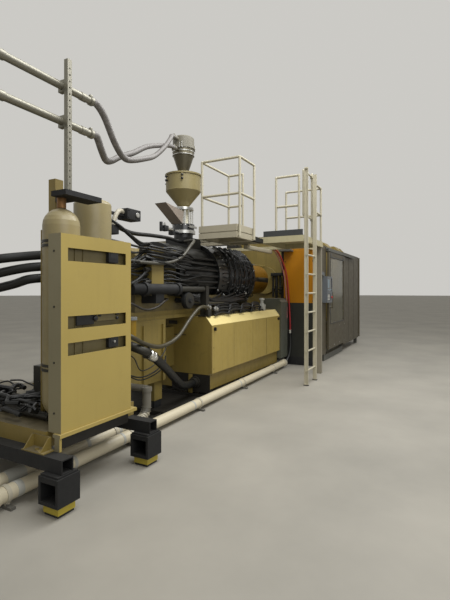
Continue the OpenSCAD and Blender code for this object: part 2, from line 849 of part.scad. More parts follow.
// A platen with trimmed corners
module platen_block(x0, x1, z0) {
  h = platen_w / 2;
  c = 120;
  along_x(x0, x1)
    polygon([[-h, z0], [-h, platen_top - c], [-h + c, platen_top], [h - c, platen_top], [h, platen_top - c],
      [h, z0]]);
}

module stationary_platen() {
  color("#8f8456")
  difference() {
    union() {
      platen_block(platen_x0, platen_x1, clamp_z);
      rod_x(platen_x0 - 60, platen_x0, 0, axis_h, 620);
      // Hinge bar of the purge guard
      rod_x(purge_x0, platen_x0, purge_hinge[0], purge_hinge[1], 26);
    }
    rod_x(platen_x0 - 61, platen_x1 - locating_depth + 1, 0, axis_h, 200);
    rod_x(platen_x1 - locating_depth, platen_x1 + 1, 0, axis_h, locating_d);
    for (p = tie_places) rod_x(platen_x0 - 61, platen_x1 + 1, p[0], p[1], tie_d + 2 * fit);
    for (p = mould_bolts) rod_x(platen_x1 - 60, platen_x1 + 1, p[0], p[1], bolt_d);
    // Pockets that leave ribs on the back
    for (s = [-1, 1])
      block([platen_x0 - 1, s * 560 - 150, axis_h - 420], [platen_x0 + 180, s * 560 + 150, axis_h + 420]);
  }
}

module tie_bars() {
  nut = 150;
  color("#8f9396")
  for (p = tie_places) {
    rod_x(platen_x0 - nut - 60, cylinder_x1 + nut + 60, p[0], p[1], tie_d);
    for (x = [platen_x0 - nut - fit, cylinder_x1 + fit]) rod_x(x, x + nut, p[0], p[1], tie_d + 130);
  }
}

module clamp_cylinder() {
  color("#8f8456")
  difference() {
    union() {
      platen_block(cylinder_x0, cylinder_x0 + 450, clamp_z);
      platen_block(cylinder_x1 - 1, cylinder_x1, axis_h + 560);
      rod_x(cylinder_x0 + 450, cylinder_x1, 0, axis_h, ram_d + 420);
      for (p = tie_places) rod_x(cylinder_x0 + 450, cylinder_x1, p[0], p[1], tie_d + 130);
    }
    rod_x(cylinder_x0 - 1, cylinder_x1 - 60, 0, axis_h, ram_d + 2 * slide_gap);
    for (p = tie_places) rod_x(cylinder_x0 - 1, cylinder_x1 + 1, p[0], p[1], tie_d + 2 * fit);
  }
}

clamp_rail_h = 90;
eject_pin_d = 40;
eject_y = 420;
eject_z = 160;

// Box that catches what the nozzle drips, between the two bases
drip_box = [[base_x + base_l + fit, -830, 180], [guard_x0 - 60, -455, base_top + 200]];

module clamp_base() {
  x0 = platen_x0 - 250;
  color("#8f8456") {
    difference() {
      block([x0, -900, base_z], [cylinder_x1, 900, clamp_z]);
      // Drop-out under the mould space
      block([platen_x1 + 120, -560, base_z - 1], [moving_x0 - 20, 560, clamp_z + 1]);
    }
    // Neck that joins the injection base
    block([drip_box[0][0], -460, base_z], [x0, 300, clamp_z + 60]);
  }
  color("#4c5350") {
    along_x(drip_box[0][0], drip_box[1][0])
      polygon([[drip_box[0][1], drip_box[0][2]], [drip_box[0][1], drip_box[1][2] - 60],
        [drip_box[0][1] + 50, drip_box[1][2]], [drip_box[1][1], drip_box[1][2]], [drip_box[1][1], drip_box[0][2]]]);
    block([drip_box[0][0], drip_box[0][1] + 40, drip_box[1][2] - 1], [drip_box[1][0] + 20, drip_box[1][1] + 10,
      drip_box[1][2] + 12]);
  }
  color("#5f5f58")
  for (y = [-720, 720])
    block([platen_x1 + 20, y - 60, clamp_z], [cylinder_x0 - 20, y + 60, clamp_z + clamp_rail_h]);
}

module moving_platen() {
  z0 = clamp_z + clamp_rail_h + fit;
  color("#9a8f60")
  difference() {
    union() {
      platen_block(moving_x0, moving_x1, z0);
      rod_x(moving_x1, moving_x1 + 60, 0, axis_h, ram_d + 160);
      rod_x(moving_x1 + 60, cylinder_x1 - 90, 0, axis_h, ram_d);
    }
    for (p = tie_places) rod_x(moving_x0 - 1, moving_x1 + 1, p[0], p[1], tie_d + 2 * slide_gap);
    for (p = mould_bolts) rod_x(moving_x0 - 1, moving_x0 + 60, p[0], p[1], bolt_d);
    for (y = [-1, 1], z = [-1, 1])
      rod_x(moving_x0 - 1, moving_x1 + 1, y * eject_y, axis_h + z * eject_z, eject_pin_d + 2 * fit);
  }
}

module ejector_plate() {
  x0 = moving_x1 + 70 + eject_stroke;
  color("#74787a")
  difference() {
    union() {
      block([x0, -520, axis_h - 330], [x0 + 70, 520, axis_h + 330]);
      for (y = [-1, 1], z = [-1, 1]) rod_x(moving_x0 + 12, x0, y * eject_y, axis_h + z * eject_z, eject_pin_d);
    }
    rod_x(x0 - 1, x0 + 71, 0, axis_h, ram_d + 40);
  }
}

// Guards

guard_bottom = 160;
guard_split = 1260;
gate_z0 = 240;
gate_z1 = guard_top - 120;
gate_y1 = guard_y + 14;
gate_y2 = gate_y1 + 40;

// A sheet panel with a folded edge, flat in the XZ plane
module guard_sheet(x0, x1, y0, y1, z0, z1) {
  e = 60;
  difference() {
    block([x0, y0, z0], [x1, y1, z1]);
    block([x0 + e, y0 + 8, z0 + e], [x1 - e, y1 + 1, z1 - e]);
  }
}

module guard_panels() {
  xg = gate_x0 + gate_l;
  color("#a3660f") {
    // Cross panels between the injection unit and the platen
    both_sides()
      for (z = [[guard_bottom, guard_split], [guard_split + fit, guard_top]])
        difference() {
          block([guard_x0, -guard_y + guard_t + fit, z[0]], [guard_x0 + guard_t, -730, z[1]]);
          block([guard_x0 + 8, -guard_y + guard_t + 60, z[0] + 60], [guard_x0 + guard_t + 1, -790, z[1] - 60]);
        }
    both_sides() {
      guard_sheet(guard_x0, gate_x0 - 10, -guard_y, -guard_y + guard_t, guard_bottom, guard_top);
      guard_sheet(xg + 10, cylinder_x1, -guard_y, -guard_y + guard_t, guard_bottom, guard_top);
    }
    guard_sheet_end();
  }
}

// End guard behind the clamp cylinder, in the YZ plane
module guard_sheet_end() {
  x0 = cylinder_x1 + 230;
  difference() {
    block([x0, -guard_y, guard_bottom], [x0 + guard_t, guard_y, guard_top]);
    block([x0 + 8, -guard_y + 60, guard_bottom + 60], [x0 + guard_t + 1, guard_y - 60, guard_top - 60]);
  }
}

// Bars of the frame, each a piece of its own that butts on the next
module guard_frame() {
  xg = gate_x0 + gate_l;
  x1 = cylinder_x1 + 230;
  y = guard_y - guard_t - fit;
  w = 80;
  color("#55585a") {
    // Bracket and pin of the operator's panel
    block([panel_x - 35, panel_y - 35, panel_z - 20], [panel_x + 35, -guard_y - fit, panel_z]);
    rod_z(panel_x, panel_y, panel_z - 1, panel_z + 70, 30);
    both_sides() {
      for (x = [guard_x0 + guard_t + fit, gate_x0 - 10 - w, xg + 10, cylinder_x1 - w])
        block([x, -y, 0], [x + w, -y + w, guard_top]);
      // Floor sill and header between the posts of the gate
      block([gate_x0 - 10 + fit, -y, 0], [xg + 10 - fit, -y + w, guard_bottom - 40]);
      block([gate_x0 - 10 + fit, -y, guard_top - 90], [xg + 10 - fit, -y + w, guard_top]);
      // Track of the gate, a folded rail
      block([gate_x0 - 40, -gate_y2 - 6, guard_top - 60], [xg + gate_stroke + 20, -guard_y - fit, guard_top - 40]);
      block([gate_x0 - 40, -gate_y2 - 6, guard_top - 100], [xg + gate_stroke + 20, -gate_y2 - fit,
        guard_top - 60 - fit]);
      // Brackets from the posts to the clamp base
      for (x = [gate_x0 - 10 - w, cylinder_x1 - w])
        block([x + 5, -y + w + fit, clamp_z - 200], [x + w - 5, -900 - fit, clamp_z - 130]);
      // Side rails that tie the last post to the end guard
      for (z = [guard_bottom, guard_top - 90])
        block([cylinder_x1 + fit, -y, z], [x1 - fit, -y + 60, z + 90]);
    }
  }
}

// A sliding gate: a frame with a window opening, a handle and two hangers
window_x0 = gate_x0 + 150;
window_x1 = gate_x0 + gate_l - 130;
window_z0 = 800;
window_z1 = gate_z1 - 110;
handle_zs = [1150, 1450];

module gate(handle) {
  color("#8d8f8e") {
    difference() {
      block([gate_x0, -gate_y2, gate_z0], [gate_x0 + gate_l, -gate_y1, gate_z1]);
      block([window_x0, -gate_y2 - 1, window_z0], [window_x1, -gate_y1 + 1, window_z1]);
    }
    for (x = [gate_x0 + 120, gate_x0 + gate_l - 220])
      block([x, -gate_y2 + 12, gate_z1], [x + 100, -gate_y2 + 28, guard_top - 60 - fit]);
    if (handle) {
      for (z = handle_zs) rod_y(gate_x0 + 90, -gate_y2 - 60, -gate_y2, z, 22);
      rod_z(gate_x0 + 90, -gate_y2 - 60, handle_zs[0] - 20, handle_zs[1] + 20, 26);
    }
  }
}

module operator_gate() {
  gate(true);
}

module rear_gate() {
  mirror([0, 1, 0]) {
    gate(true);
    color("#9fb4b8")
      block([window_x0, -gate_y2 + 14, window_z0], [window_x1, -gate_y2 + 20, window_z1]);
  }
}

module gate_window() {
  color("#9fb4b8", 0.5)
    block([window_x0 + fit, -gate_y2 + 14, window_z0 + fit], [window_x1 - fit, -gate_y2 + 20, window_z1 - fit]);
}

// Access platform

// A standing tube with a ball top
module rail_post(x, y, z0, z1) {
  rod_z(x, y, z0, z1 - tube_d / 2, tube_d);
  translate([x, y, z1 - tube_d / 2]) sphere(d = tube_d);
}

deck_rail_top = deck_z + rail_over;
far_beam = 60;

// A deck plate over its edge beams, with a groove under the plate
module deck_box(lo, hi) {
  difference() {
    block([lo[0], lo[1], deck_z - deck_h], [hi[0], hi[1], deck_z]);
    block([lo[0] + far_beam, lo[1] + far_beam, deck_z - deck_h - 1], [hi[0] - far_beam, hi[1] - far_beam,
      deck_z - 12]);
    difference() {
      block([lo[0] - 1, lo[1] - 1, deck_z - 16], [hi[0] + 1, hi[1] + 1, deck_z - 4]);
      block([lo[0] + 14, lo[1] + 14, deck_z - 17], [hi[0] - 14, hi[1] - 14, deck_z - 3]);
    }
  }
}

module platform_deck() {
  z0 = deck_z - deck_h;
  color("#b3aea3") {
    deck_box([deck_x0, deck_y0], [deck_notch[0], deck_y1]);
    deck_box([deck_notch[0] + fit, deck_notch[1]], [deck_x1, deck_y1]);
    // Toe boards
    block([deck_x0, deck_y0, deck_z + fit], [deck_notch[0], deck_y0 + 8, deck_z + toe_h]);
    block([deck_x0, deck_y0 + 8 + fit, deck_z + fit], [deck_x0 + 8, deck_y1, deck_z + toe_h]);
    // Beams over the machine to the legs on the far side
    for (x = [hopper_x + 280, deck_x1 - 80]) {
      block([x, deck_y1 + fit, z0], [x + 80, far_y, z0 + far_beam]);
      block([x, deck_leg_y, 0], [x + 80, far_y, z0 - fit]);
    }
  }
}

module landing() {
  z0 = deck_z - deck_h;
  x0 = landing_x0 + fit;
  color("#aca78f") {
    difference() {
      block([x0, landing_y0, z0], [landing_x1, landing_y1, deck_z]);
      block([x0 + 50, landing_y0 + 50, z0 - 1], [landing_x1 - 50, landing_y1 - 50, deck_z - 10]);
    }
    // Beams over the machine to the far side
    for (x = [x0, landing_x1 - 70]) block([x, landing_y1 + fit, z0], [x + 70, far_y, z0 + far_beam]);
    block([x0 + 70 + fit, deck_leg_y, z0], [landing_x1 - 70 - fit, far_y, z0 + far_beam]);
    // Square tube in the platform's notch, its open end to view
    difference() {
      block([deck_notch[0] + fit, deck_notch[1] - 70, z0 - 2], [landing_x0, deck_notch[1] - fit, z0 + 68]);
      block([deck_notch[0], deck_notch[1] - 64, z0 + 4], [landing_x0 - 20, deck_notch[1] - 6, z0 + 62]);
    }
    // Tie to the clamp guard
    block([landing_x1, -guard_y + 60, z0 + 20], [guard_x0 - fit, -guard_y + 120, z0 + 80]);
    // Legs beside the clamp guard and on the far side
    block([landing_x1 - 70, landing_y0 + 15, 0], [landing_x1, landing_y0 + 120, z0 - fit]);
    block([landing_x1 - 70, deck_leg_y, 0], [landing_x1, far_y, z0 - fit]);
  }
  color("#26282a") {
    // Kick strip over the edge beam, and the mat
    block([x0, landing_y0 + 16, deck_z + fit], [x0 + 12, landing_y1 - 62, deck_z + toe_h]);
    block([x0 + 20, landing_y0 + 20, deck_z + fit], [landing_x1 - 20, landing_y1 - 20, deck_z + 8]);
  }
}

// Two rails between two points of the deck's edge
module rail_run(a, b, z_top, z_mid) {
  l = norm([b[0] - a[0], b[1] - a[1]]);
  turn = atan2(b[1] - a[1], b[0] - a[0]);
  for (z = [z_top, z_mid])
    translate([a[0], a[1], z]) rotate([0, 0, turn]) rotate([0, 90, 0])
      translate([0, 0, tube_d / 2 + fit]) cylinder(d = tube_d, h = l - tube_d - 2 * fit);
}

module railings() {
  deck_top = deck_rail_top - tube_d / 2;
  deck_mid = deck_z + rail_over / 2;
  top = deck_z + landing_rail;
  mid = deck_z + landing_rail / 2;
  inset = tube_d / 2 + 10;
  side = deck_y0 - tube_d / 2 - 4;
  a = [deck_x0 + 54, deck_y1 - inset];
  b = [deck_x0 + 54, side];
  c = [deck_notch[0] - 30, side];
  d = [deck_x1 - inset, deck_y1 - inset];
  e = [deck_x1 - inset, -634];
  f = [landing_x0 + 40, -1214];
  g = [landing_x0 + 40, landing_y0 + inset + 60];
  h = [ladder_x + ladder_w / 2 + stile_w + 40, landing_y0 + inset];
  i = [landing_x1 - inset - 10, landing_y0 + inset];
  j = [landing_x1 - inset - 10, landing_y1 - inset - 30];
  color("#cdc9bb") {
    for (p = [a, d, e]) rail_post(p[0], p[1], deck_z + fit, deck_rail_top);
    // Posts bolted to the side of the edge beam
    for (p = [b, c]) {
      rail_post(p[0], p[1], deck_z - deck_h + 10, deck_rail_top);
      block([p[0] - 14, p[1], deck_z - deck_h + 30], [p[0] + 14, deck_y0 - fit, deck_z - deck_h + 70]);
    }
    for (p = [f, g, i, j]) rail_post(p[0], p[1], deck_z + 8 + fit, top + tube_d / 2);
    rail_post(h[0], h[1], deck_z + 8 + fit, deck_rail_top);
    for (r = [[a, b], [b, c], [a, d], [d, e]]) rail_run(r[0], r[1], deck_top, deck_mid);
    for (r = [[f, g], [h, i], [i, j]]) rail_run(r[0], r[1], top, mid);
  }
}

module ladder() {
  stile_top = deck_rail_top - 40;
  y0 = landing_y0 - stile_d - 8;
  color("#c9c4b0") {
    for (s = [-1, 1]) {
      x = ladder_x + s * (ladder_w / 2 + stile_w / 2);
      difference() {
        block([x - stile_w / 2, y0, 12], [x + stile_w / 2, y0 + stile_d, stile_top]);
        block([x - stile_w / 2 + (s > 0 ? 5 : -1), y0 + 5, 30],
          [x + stile_w / 2 + (s > 0 ? 1 : -5), y0 + stile_d - 5, stile_top - 20]);
      }
      block([x - stile_w / 2, y0 + stile_d, deck_z - 70], [x + stile_w / 2, landing_y0, deck_z - 20]);
    }
    for (z = [first_rung : rung_gap : deck_z - 60])
      rod_x(ladder_x - ladder_w / 2 - stile_w + 3, ladder_x + ladder_w / 2 + stile_w - 3, y0 + stile_d / 2, z, 28);
  }
  color("#1b1c1d")
  for (s = [-1, 1])
    block([ladder_x + s * (ladder_w / 2 + stile_w / 2) - 22, y0 - 8, 0],
      [ladder_x + s * (ladder_w / 2 + stile_w / 2) + 22, y0 + stile_d + 8, 12]);
}

// Gate at the head of the ladder, hinged on a post of the landing
gate_hinge = [ladder_x + ladder_w / 2 + stile_w + 40, landing_y0 + tube_d / 2 + 10];

module ladder_gate() {
  x0 = ladder_x - ladder_w / 2 + 40;
  y = gate_hinge[1];
  d = 30;
  color("#cdc9bb") {
    for (z = [deck_z + 330, deck_z + rail_over - 60]) {
      difference() {
        rod_z(gate_hinge[0], y, z - 30, z + 30, tube_d + 22);
        rod_z(gate_hinge[0], y, z - 31, z + 31, tube_d + 1);
      }
      rod_x(x0, gate_hinge[0] - tube_d / 2 - 3, y, z, d);
    }
    rod_z(x0, y, deck_z + 330, deck_z + rail_over - 60, d);
    for (z = [deck_z + 330, deck_z + rail_over - 60]) translate([x0, y, z]) sphere(d = d);
  }
}

// Injection unit

port_x0 = housing_x0 + 120;
port_x1 = housing_x1 - 110;
port_y = 560;

module carriage_frame() {
  x0 = housing_x0 - 60;
  x1 = drum_x + 350;
  color("#928652") {
    // Sled with shoes over the rails
    difference() {
      block([x0, -bed_half, sled_z], [x1, bed_half, sled_top]);
      block([x0 + 400, -rail_gap / 2 + rail_w, sled_z - 1], [x1 - 60, rail_gap / 2 - rail_w, sled_top - 40]);
      // Room for the round guard over the sled
      rod_x(feed_x0 - 1, x1 + 1, 0, axis_h, drum_d + 20);
    }
    // Cylinder housing
    difference() {
      along_x(housing_x0, housing_x1)
        polygon([[-430, sled_top], [-430, axis_h + 180], [-290, axis_h + 300], [290, axis_h + 300],
          [430, axis_h + 180], [430, sled_top]]);
      rod_x(housing_x0 - 1, housing_x1 + 1, 0, axis_h, screw_d + 30);
      for (s = [-1, 1]) rod_x(housing_x0 - 1, housing_x1 - 50, s * 300, axis_h, 110 + 2 * slide_gap);
    }
    // Port block on the operator's side
    block([port_x0, -port_y, sled_top + 90], [port_x1, -430, axis_h + 320]);
    // Rib flange at the front of the housing
    difference() {
      along_x(housing_x1, housing_x1 + 40)
        polygon([[-470, sled_top], [-470, axis_h + 200], [-310, axis_h + 340], [310, axis_h + 340],
          [470, axis_h + 200], [470, sled_top]]);
      rod_x(housing_x1 - 1, housing_x1 + 41, 0, axis_h, screw_d + 30);
    }
    // Side webs between the housing and the barrel flange
    for (s = [-1, 1])
      block([housing_x1 + 40, s * 390 - 20, sled_top], [feed_x0, s * 390 + 20, axis_h + 60]);
    difference() {
      block([feed_x0 - 60, -410, sled_top], [feed_x0, 410, axis_h + 330]);
      rod_x(feed_x0 - 61, feed_x0 + 1, 0, axis_h, barrel_d + 2 * fit);
    }
  }
}

// Cylinders that pull the nozzle onto the mould, and their rods
pull_y = 640;
pull_z = axis_h - 210;
pull_d = 130;
rod_d = 80;
pull_x0 = housing_x0 - 150;
pull_x1 = housing_x1 + 80;
rod_end = base_x + 60;

module pull_in_cylinders() {
  color("#1d1f20")
  both_sides() {
    difference() {
      union() {
        rod_x(pull_x0, pull_x1, -pull_y, pull_z, pull_d);
        for (x = [pull_x0, pull_x1 - 50]) rod_x(x, x + 50, -pull_y, pull_z, pull_d + 34);
        // Bracket to the sled's side
        block([housing_x0 + 60, -pull_y, sled_top - 110], [housing_x0 + 220, -bed_half, sled_top - 20]);
        block([housing_x0 + 60, -pull_y - 30, sled_top - 110], [housing_x0 + 220, -pull_y + 30, pull_z]);
      }
      rod_x(pull_x0 + 40, pull_x1 + 1, -pull_y, pull_z, rod_d + 2 * slide_gap);
    }
  }
}

module pull_in_rods() {
  color("#3a3b3c")
  both_sides() {
    rod_x(pull_x0 + 60, rod_end - 30, -pull_y, pull_z, rod_d);
    // Bracket on the base that the rod is pinned to
    block([rod_end - 30, -pull_y - 50, base_top], [rod_end + 50, -pull_y + 50, pull_z + 50]);
    block([rod_end - 70, -pull_y - 60, base_top], [rod_end + 90, -pull_y + 60, base_top + 24]);
  }
}

module barrel() {
  color("#4a4946")
  difference() {
    union() {
      rod_x(feed_x0 - 60, barrel_end + 60, 0, axis_h, barrel_d);
      rod_x(barrel_end + 60, barrel_end + 150, 0, axis_h, barrel_d - 60);
    }
    rod_x(feed_x0 - 61, barrel_end + 100, 0, axis_h, screw_d + 2 * screw_gap);
    rod_x(barrel_end + 99, barrel_end + 151, 0, axis_h, 50);
    // Feed port
    rod_z(hopper_x, 0, axis_h, axis_h + barrel_d, outlet_d - 20);
  }
}

module barrel_jacket() {
  r = drum_d / 2;
  bore = barrel_d + 2 * fit;
  color("#141618")
  difference() {
    union() {
      rod_x(drum_x, drum_end, 0, axis_h, drum_d);
      // Seam bands
      for (x = [drum_x, drum_x + drum_l / 2 - 20, drum_end - 60]) rod_x(x, x + 40, 0, axis_h, drum_d + 12);
    }
    rod_x(drum_x + drum_t, drum_end - drum_t, 0, axis_h, drum_d - 2 * drum_t);
    rod_x(drum_x - 1, drum_end + 1, 0, axis_h, bore);
  }
}

// Rows of connectors round the front of the barrel guard
row_xs = [for (k = [0 : 4]) drum_end - 945 + k * 190];

module heater_connectors() {
  r = drum_d / 2 + fit;
  color("#9ea1a3")
  for (k = [0 : 4], a = [30 : 15 : 150], s = [-1, 1])
    translate([row_xs[k], 0, axis_h]) rotate([s * a, 0, 0]) translate([0, 0, r]) {
      cylinder(d = 30, h = 26);
      translate([0, 0, 26]) cylinder(d = 20, h = 22);
    }
}

nozzle_x1 = platen_x1 - locating_depth - 60;
module nozzle() {
  x0 = barrel_end + 150;
  l = nozzle_x1 - x0;
  color("#2c2c2b")
  translate([x0, 0, axis_h]) rotate([0, 90, 0]) rotate_extrude()
    polygon([[12, 0], [120, 0], [120, 130], [60, 130], [60, l - 120], [30, l - 24], [26, l - 12], [18, l - 3],
      [12, l]]);
}

ring_z = axis_h + 680;
ring_top = ring_z + 137;
ring_d = 350;
throat_top = ring_top + sight_h;
hopper_top = throat_top + hopper_cone_h + hopper_wall_h;
gate_z = ring_z + 86;
gate_w = 200;
gate_pull = 130;
port_d = outlet_d - 20;

// Folded trough that leads material back from the sight section, seen from the side
chute = [[-610, 380], [-140, 320], [-110, 130], [-180, 130]];
module chute_trough() {
  t = 4;
  inner = [[-606, 400], [-130, 400], [-130 - t, 318], [-114 - t, 130 + t], [-178, 130 + t]];
  difference() {
    translate([hopper_x, 100, ring_z]) rotate([90, 0, 0]) linear_extrude(200) polygon(chute);
    translate([hopper_x, 100 - t, ring_z]) rotate([90, 0, 0]) linear_extrude(200 - 2 * t) polygon(inner);
  }
  block([hopper_x - 180, -60, ring_top - 20], [hopper_x - 112, 60, ring_z + 132]);
}

module feed_throat() {
  color("#202325")
  difference() {
    union() {
      // Feed section with cooling jacket
      rod_x(feed_x0 + fit, drum_x - fit, 0, axis_h, feed_d);
      block([hopper_x - 200, -200, axis_h + 300], [hopper_x + 200, 200, ring_z - 89]);
      rod_z(hopper_x, 0, ring_z - 90, ring_z - 11, 300);
    }
    rod_x(feed_x0, drum_x, 0, axis_h, barrel_d + 2 * fit);
    rod_z(hopper_x, 0, axis_h, ring_z, port_d);
  }
  color("#b7b5ae")
  difference() {
    rod_z(hopper_x, 0, ring_z - 11, ring_z + 36, 380);
    rod_z(hopper_x, 0, ring_z - 12, ring_z + 37, port_d);
  }
  color("#1b1d1f")
  difference() {
    union() {
      rod_z(hopper_x, 0, ring_z + 36, ring_top, ring_d);
      chute_trough();
    }
    rod_z(hopper_x, 0, ring_z + 35, ring_top + 1, port_d);
    // Pocket of the slide gate
    block([hopper_x - gate_w / 2 - fit, -ring_d / 2 - 1, gate_z - fit],
      [hopper_x + gate_w / 2 + fit, ring_d / 2 + 1, gate_z + 6 + fit]);
  }
  // Columns of the sight section
  color("#b7b5ae") {
    for (a = [45 : 90 : 359])
      translate([hopper_x, 0, 0]) rotate([0, 0, a]) rod_z(120, 0, ring_top, throat_top - 20, 26);
    difference() {
      rod_z(hopper_x, 0, throat_top - 20, throat_top - fit, 320);
      rod_z(hopper_x, 0, throat_top - 21, throat_top + 1, port_d);
    }
  }
  color("#cfd4d2")
  difference() {
    rod_z(hopper_x, 0, ring_top, throat_top - 20, port_d + 40);
    rod_z(hopper_x, 0, ring_top - 1, throat_top - 19, port_d);
  }
}

module slide_gate() {
  y0 = -ring_d / 2 - 3;
  color("#8d9194")
  difference() {
    union() {
      block([hopper_x - gate_w / 2, y0, gate_z], [hopper_x + gate_w / 2, outlet_d / 2 + gate_pull, gate_z + 6]);
      block([hopper_x - gate_w / 2, y0 - 12, gate_z - 14], [hopper_x + gate_w / 2, y0, gate_z + 20]);
    }
    rod_z(hopper_x, 0, gate_z - 1, gate_z + 7, port_d);
  }
}

module hopper() {
  r = hopper_d / 2;
  ro = outlet_d / 2;
  z1 = hopper_top - hopper_wall_h;
  z2 = z1 - hopper_cone_h;
  t = hopper_t;
  color("#a39b72") {
    translate([hopper_x, 0, 0]) rotate_extrude()
      polygon([
        [ro, z2], [ro + 40, z2], [ro + 40, z2 + 14], [ro + t, z2 + 14], [r, z1], [r, hopper_top - 24],
        [r + 14, hopper_top - 24], [r + 14, hopper_top], [72, hopper_top], [72, hopper_top - 6],
        [r - t, hopper_top - 6], [r - t, z1], [ro, z2 + 14]
      ]);
    // Clips at the joint of the lid
    for (a = [150, 210, 330, 30])
      translate([hopper_x, 0, hopper_top - 110]) rotate([0, 0, a])
        translate([r - 1, -14, 0]) cube([18, 28, 80]);
  }
}

cone_top = hopper_top + 300;
clear_top = cone_top + 105;
module vacuum_loader() {
  z0 = hopper_top + fit;
  r = loader_d / 2;
  color("#7f8283")
  difference() {
    translate([hopper_x, 0, 0]) rotate_extrude()
      polygon([[0, z0], [92, z0], [92, z0 + 25], [72, z0 + 25], [r - 6, cone_top], [r, cone_top], [r, clear_top],
        [r + 16, clear_top], [r + 16, clear_top + 40], [r, clear_top + 40], [r, clear_top + 172],
        [r - 22, clear_top + 192], [0, clear_top + 192]]);
    rod_z(hopper_x, 0, z0 - 1, z0 + 60, 110);
  }
  // Hose spigots on the side that faces the mast
  color("#6f7274")
  for (z = [clear_top + 130, cone_top + 73])
    rod_x(hopper_x - r - 40, hopper_x - r + 20, 0, z, flex_d - 4);
}

// Screw and its drive

drive_x = housing_x0 - 450;
module screw_drive() {
  color("#8c8258") {
    difference() {
      block([drive_x - 150, -450, axis_h - 250], [drive_x, 450, axis_h + 250]);
      rod_x(drive_x - 60, drive_x + 1, 0, axis_h, screw_d + 2 * slide_gap);
    }
  }
  color("#35383a") {
    rod_x(drive_x - 420, drive_x - 150, 0, axis_h, 360);
    rod_x(drive_x - 460, drive_x - 420, 0, axis_h, 240);
  }
  color("#b9bcbd")
  for (s = [-1, 1])
    rod_x(drive_x, housing_x1 - 60, s * 300, axis_h, 110);
}

module screw() {
  x0 = drive_x - 55;
  x1 = barrel_end + 92;
  root_d = screw_d * 0.72;
  color("#a9adaf") {
    rod_x(x0, feed_x0 + 80, 0, axis_h, screw_d);
    rod_x(feed_x0 + 80, x1 - 60, 0, axis_h, root_d);
    translate([x1 - 60, 0, axis_h]) rotate([0, 90, 0]) cylinder(d1 = root_d, d2 = 30, h = 60);
    // Collars stand for the turns of the flight
    for (x = [feed_x0 + 200 : screw_d : x1 - 120]) rod_x(x, x + 14, 0, axis_h, screw_d);
  }
}

// Purge guard round the nozzle, hinged along its top
purge_x0 = barrel_end - 320;
purge_x1 = purge_x0 + purge_l;
purge_hinge = [12, axis_h + purge_d / 2 + 14];
module purge_guard() {
  r = purge_d / 2;
  color("#c97f1c")
  difference() {
    union() {
      rod_x(purge_x0, purge_x1, 0, axis_h, purge_d);
    }
    rod_x(purge_x0 - 1, purge_x1 + 1, 0, axis_h, purge_d - 2 * purge_t);
    block([purge_x0 - 2, 0, axis_h - r - 1], [purge_x1 + 2, r + 1, axis_h + r + 1]);
    // Sight slot at the nozzle
    block([purge_x0 + 120, -r - 1, axis_h - 40], [purge_x1 - 120, -r / 2, axis_h + 40]);
  }
  color("#55585a")
  difference() {
    union() {
      rod_x(purge_x0 + 40, purge_x1 - 40, purge_hinge[0], purge_hinge[1], 40);
      block([purge_x0 + 40, -60, axis_h + r - 14], [purge_x1 - 40, 0, axis_h + r + 4]);
    }
    rod_x(purge_x0 + 39, purge_x1 - 39, purge_hinge[0], purge_hinge[1], 26.2);
    rod_x(purge_x0 - 1, purge_x1 + 1, 0, axis_h, purge_d - 2 * purge_t);
  }
}

// Hoses and filter

function between(a, b, t) = a + (b - a) * t;

// A hose that sags between two fittings along X, and leaves them straight
function sag_route(a, b, sag) = concat([a], [
  for (i = [0 : 6])
    let (t = i / 6)
    between(a + [25, 0, 0], b - [25, 0, 0], t) - [0, 0, sag * 4 * t * (1 - t)]
], [b]);

module oil_filter() {
  x = bed_x + 110;
  y = -bed_half - 150;
  z = rail_z + 43;
  color("#c08a18") rod_z(x, y, rail_z - 150, z, 100);
  color("#7c7f80") {
    rod_z(x, y, z, z + 34, 120);
    block([x - 30, y, z + 8], [x + 30, -bed_half - fit, z + 30]);
    block([x - 60, -bed_half - 40, rail_z - 50], [x + 60, -bed_half - fit, z + 34]);
  }
}

// Thick pressure hoses from the near header round the post to the far header
module rear_hoses() {
  x0 = near_header[0] - fit;
  y0 = near_header[1] + 90;
  y1 = far_header[1] - fit;
  color("#131415")
  for (k = [0 : 2]) {
    x = skid_x - 5 + k * 85;
    z = near_header_z + 280 - k * 100;
    drop = 340;
    hose([[x0, y0, z], [x0 - 40, y0, z], [x0 - 90 - k * 8, y0 + 40 - k * 5, z - 4], [x0 - 210, y0 + 160 - k * 20, z - 20],
      [x + 130, y0 + 330 - k * 25, z - 60], [x + 20, y0 + 600 - k * 30, z - 130], [x, 250, z - 235],
      [x, 620, z - drop + 20], [x, y1 - 60, z - drop], [x, y1, z - drop]], 78, 2);
  }
}

// Hoses from the feed header to the port block, which moves with the carriage
module feed_hoses() {
  x0 = feed_header[0] + 80 + fit;
  z0 = axis_h - 140;
  color("#131415")
  for (k = [0 : 5])
    hose(sag_route([x0, feed_header[1] + 26 + (k % 2) * 48, z0 + k * 90],
      [port_x0 - fit, -port_y + 30 + (k % 2) * 60, z0 + 20 + k * 76], 110 + (k % 3) * 50), 42, 1);
}

// Hoses from the port block along the feed section to the rear disc of the barrel guard
module carriage_hoses() {
  r = (drum_d + feed_d) / 4 + 1;
  color("#131415")
  for (k = [0 : 5]) {
    a = -22 + k * 10.4;
    y = -r * cos(a);
    z = axis_h + r * sin(a);
    y0 = -port_y + 30 + (k % 2) * 36;
    z0 = axis_h - 130 + k * 76;
    hose([[port_x1 + fit, y0, z0], [port_x1 + 60, y0, z0], [between(port_x1, feed_x0, 0.6), between(y0, y, 0.7) - 14,
      between(z0, z, 0.6)], [feed_x0 + 60, y, z], [between(feed_x0, drum_x, 0.6), y - 6, z], [drum_x - 60, y, z],
      [drum_x - fit, y, z]], 40, 2);
  }
}

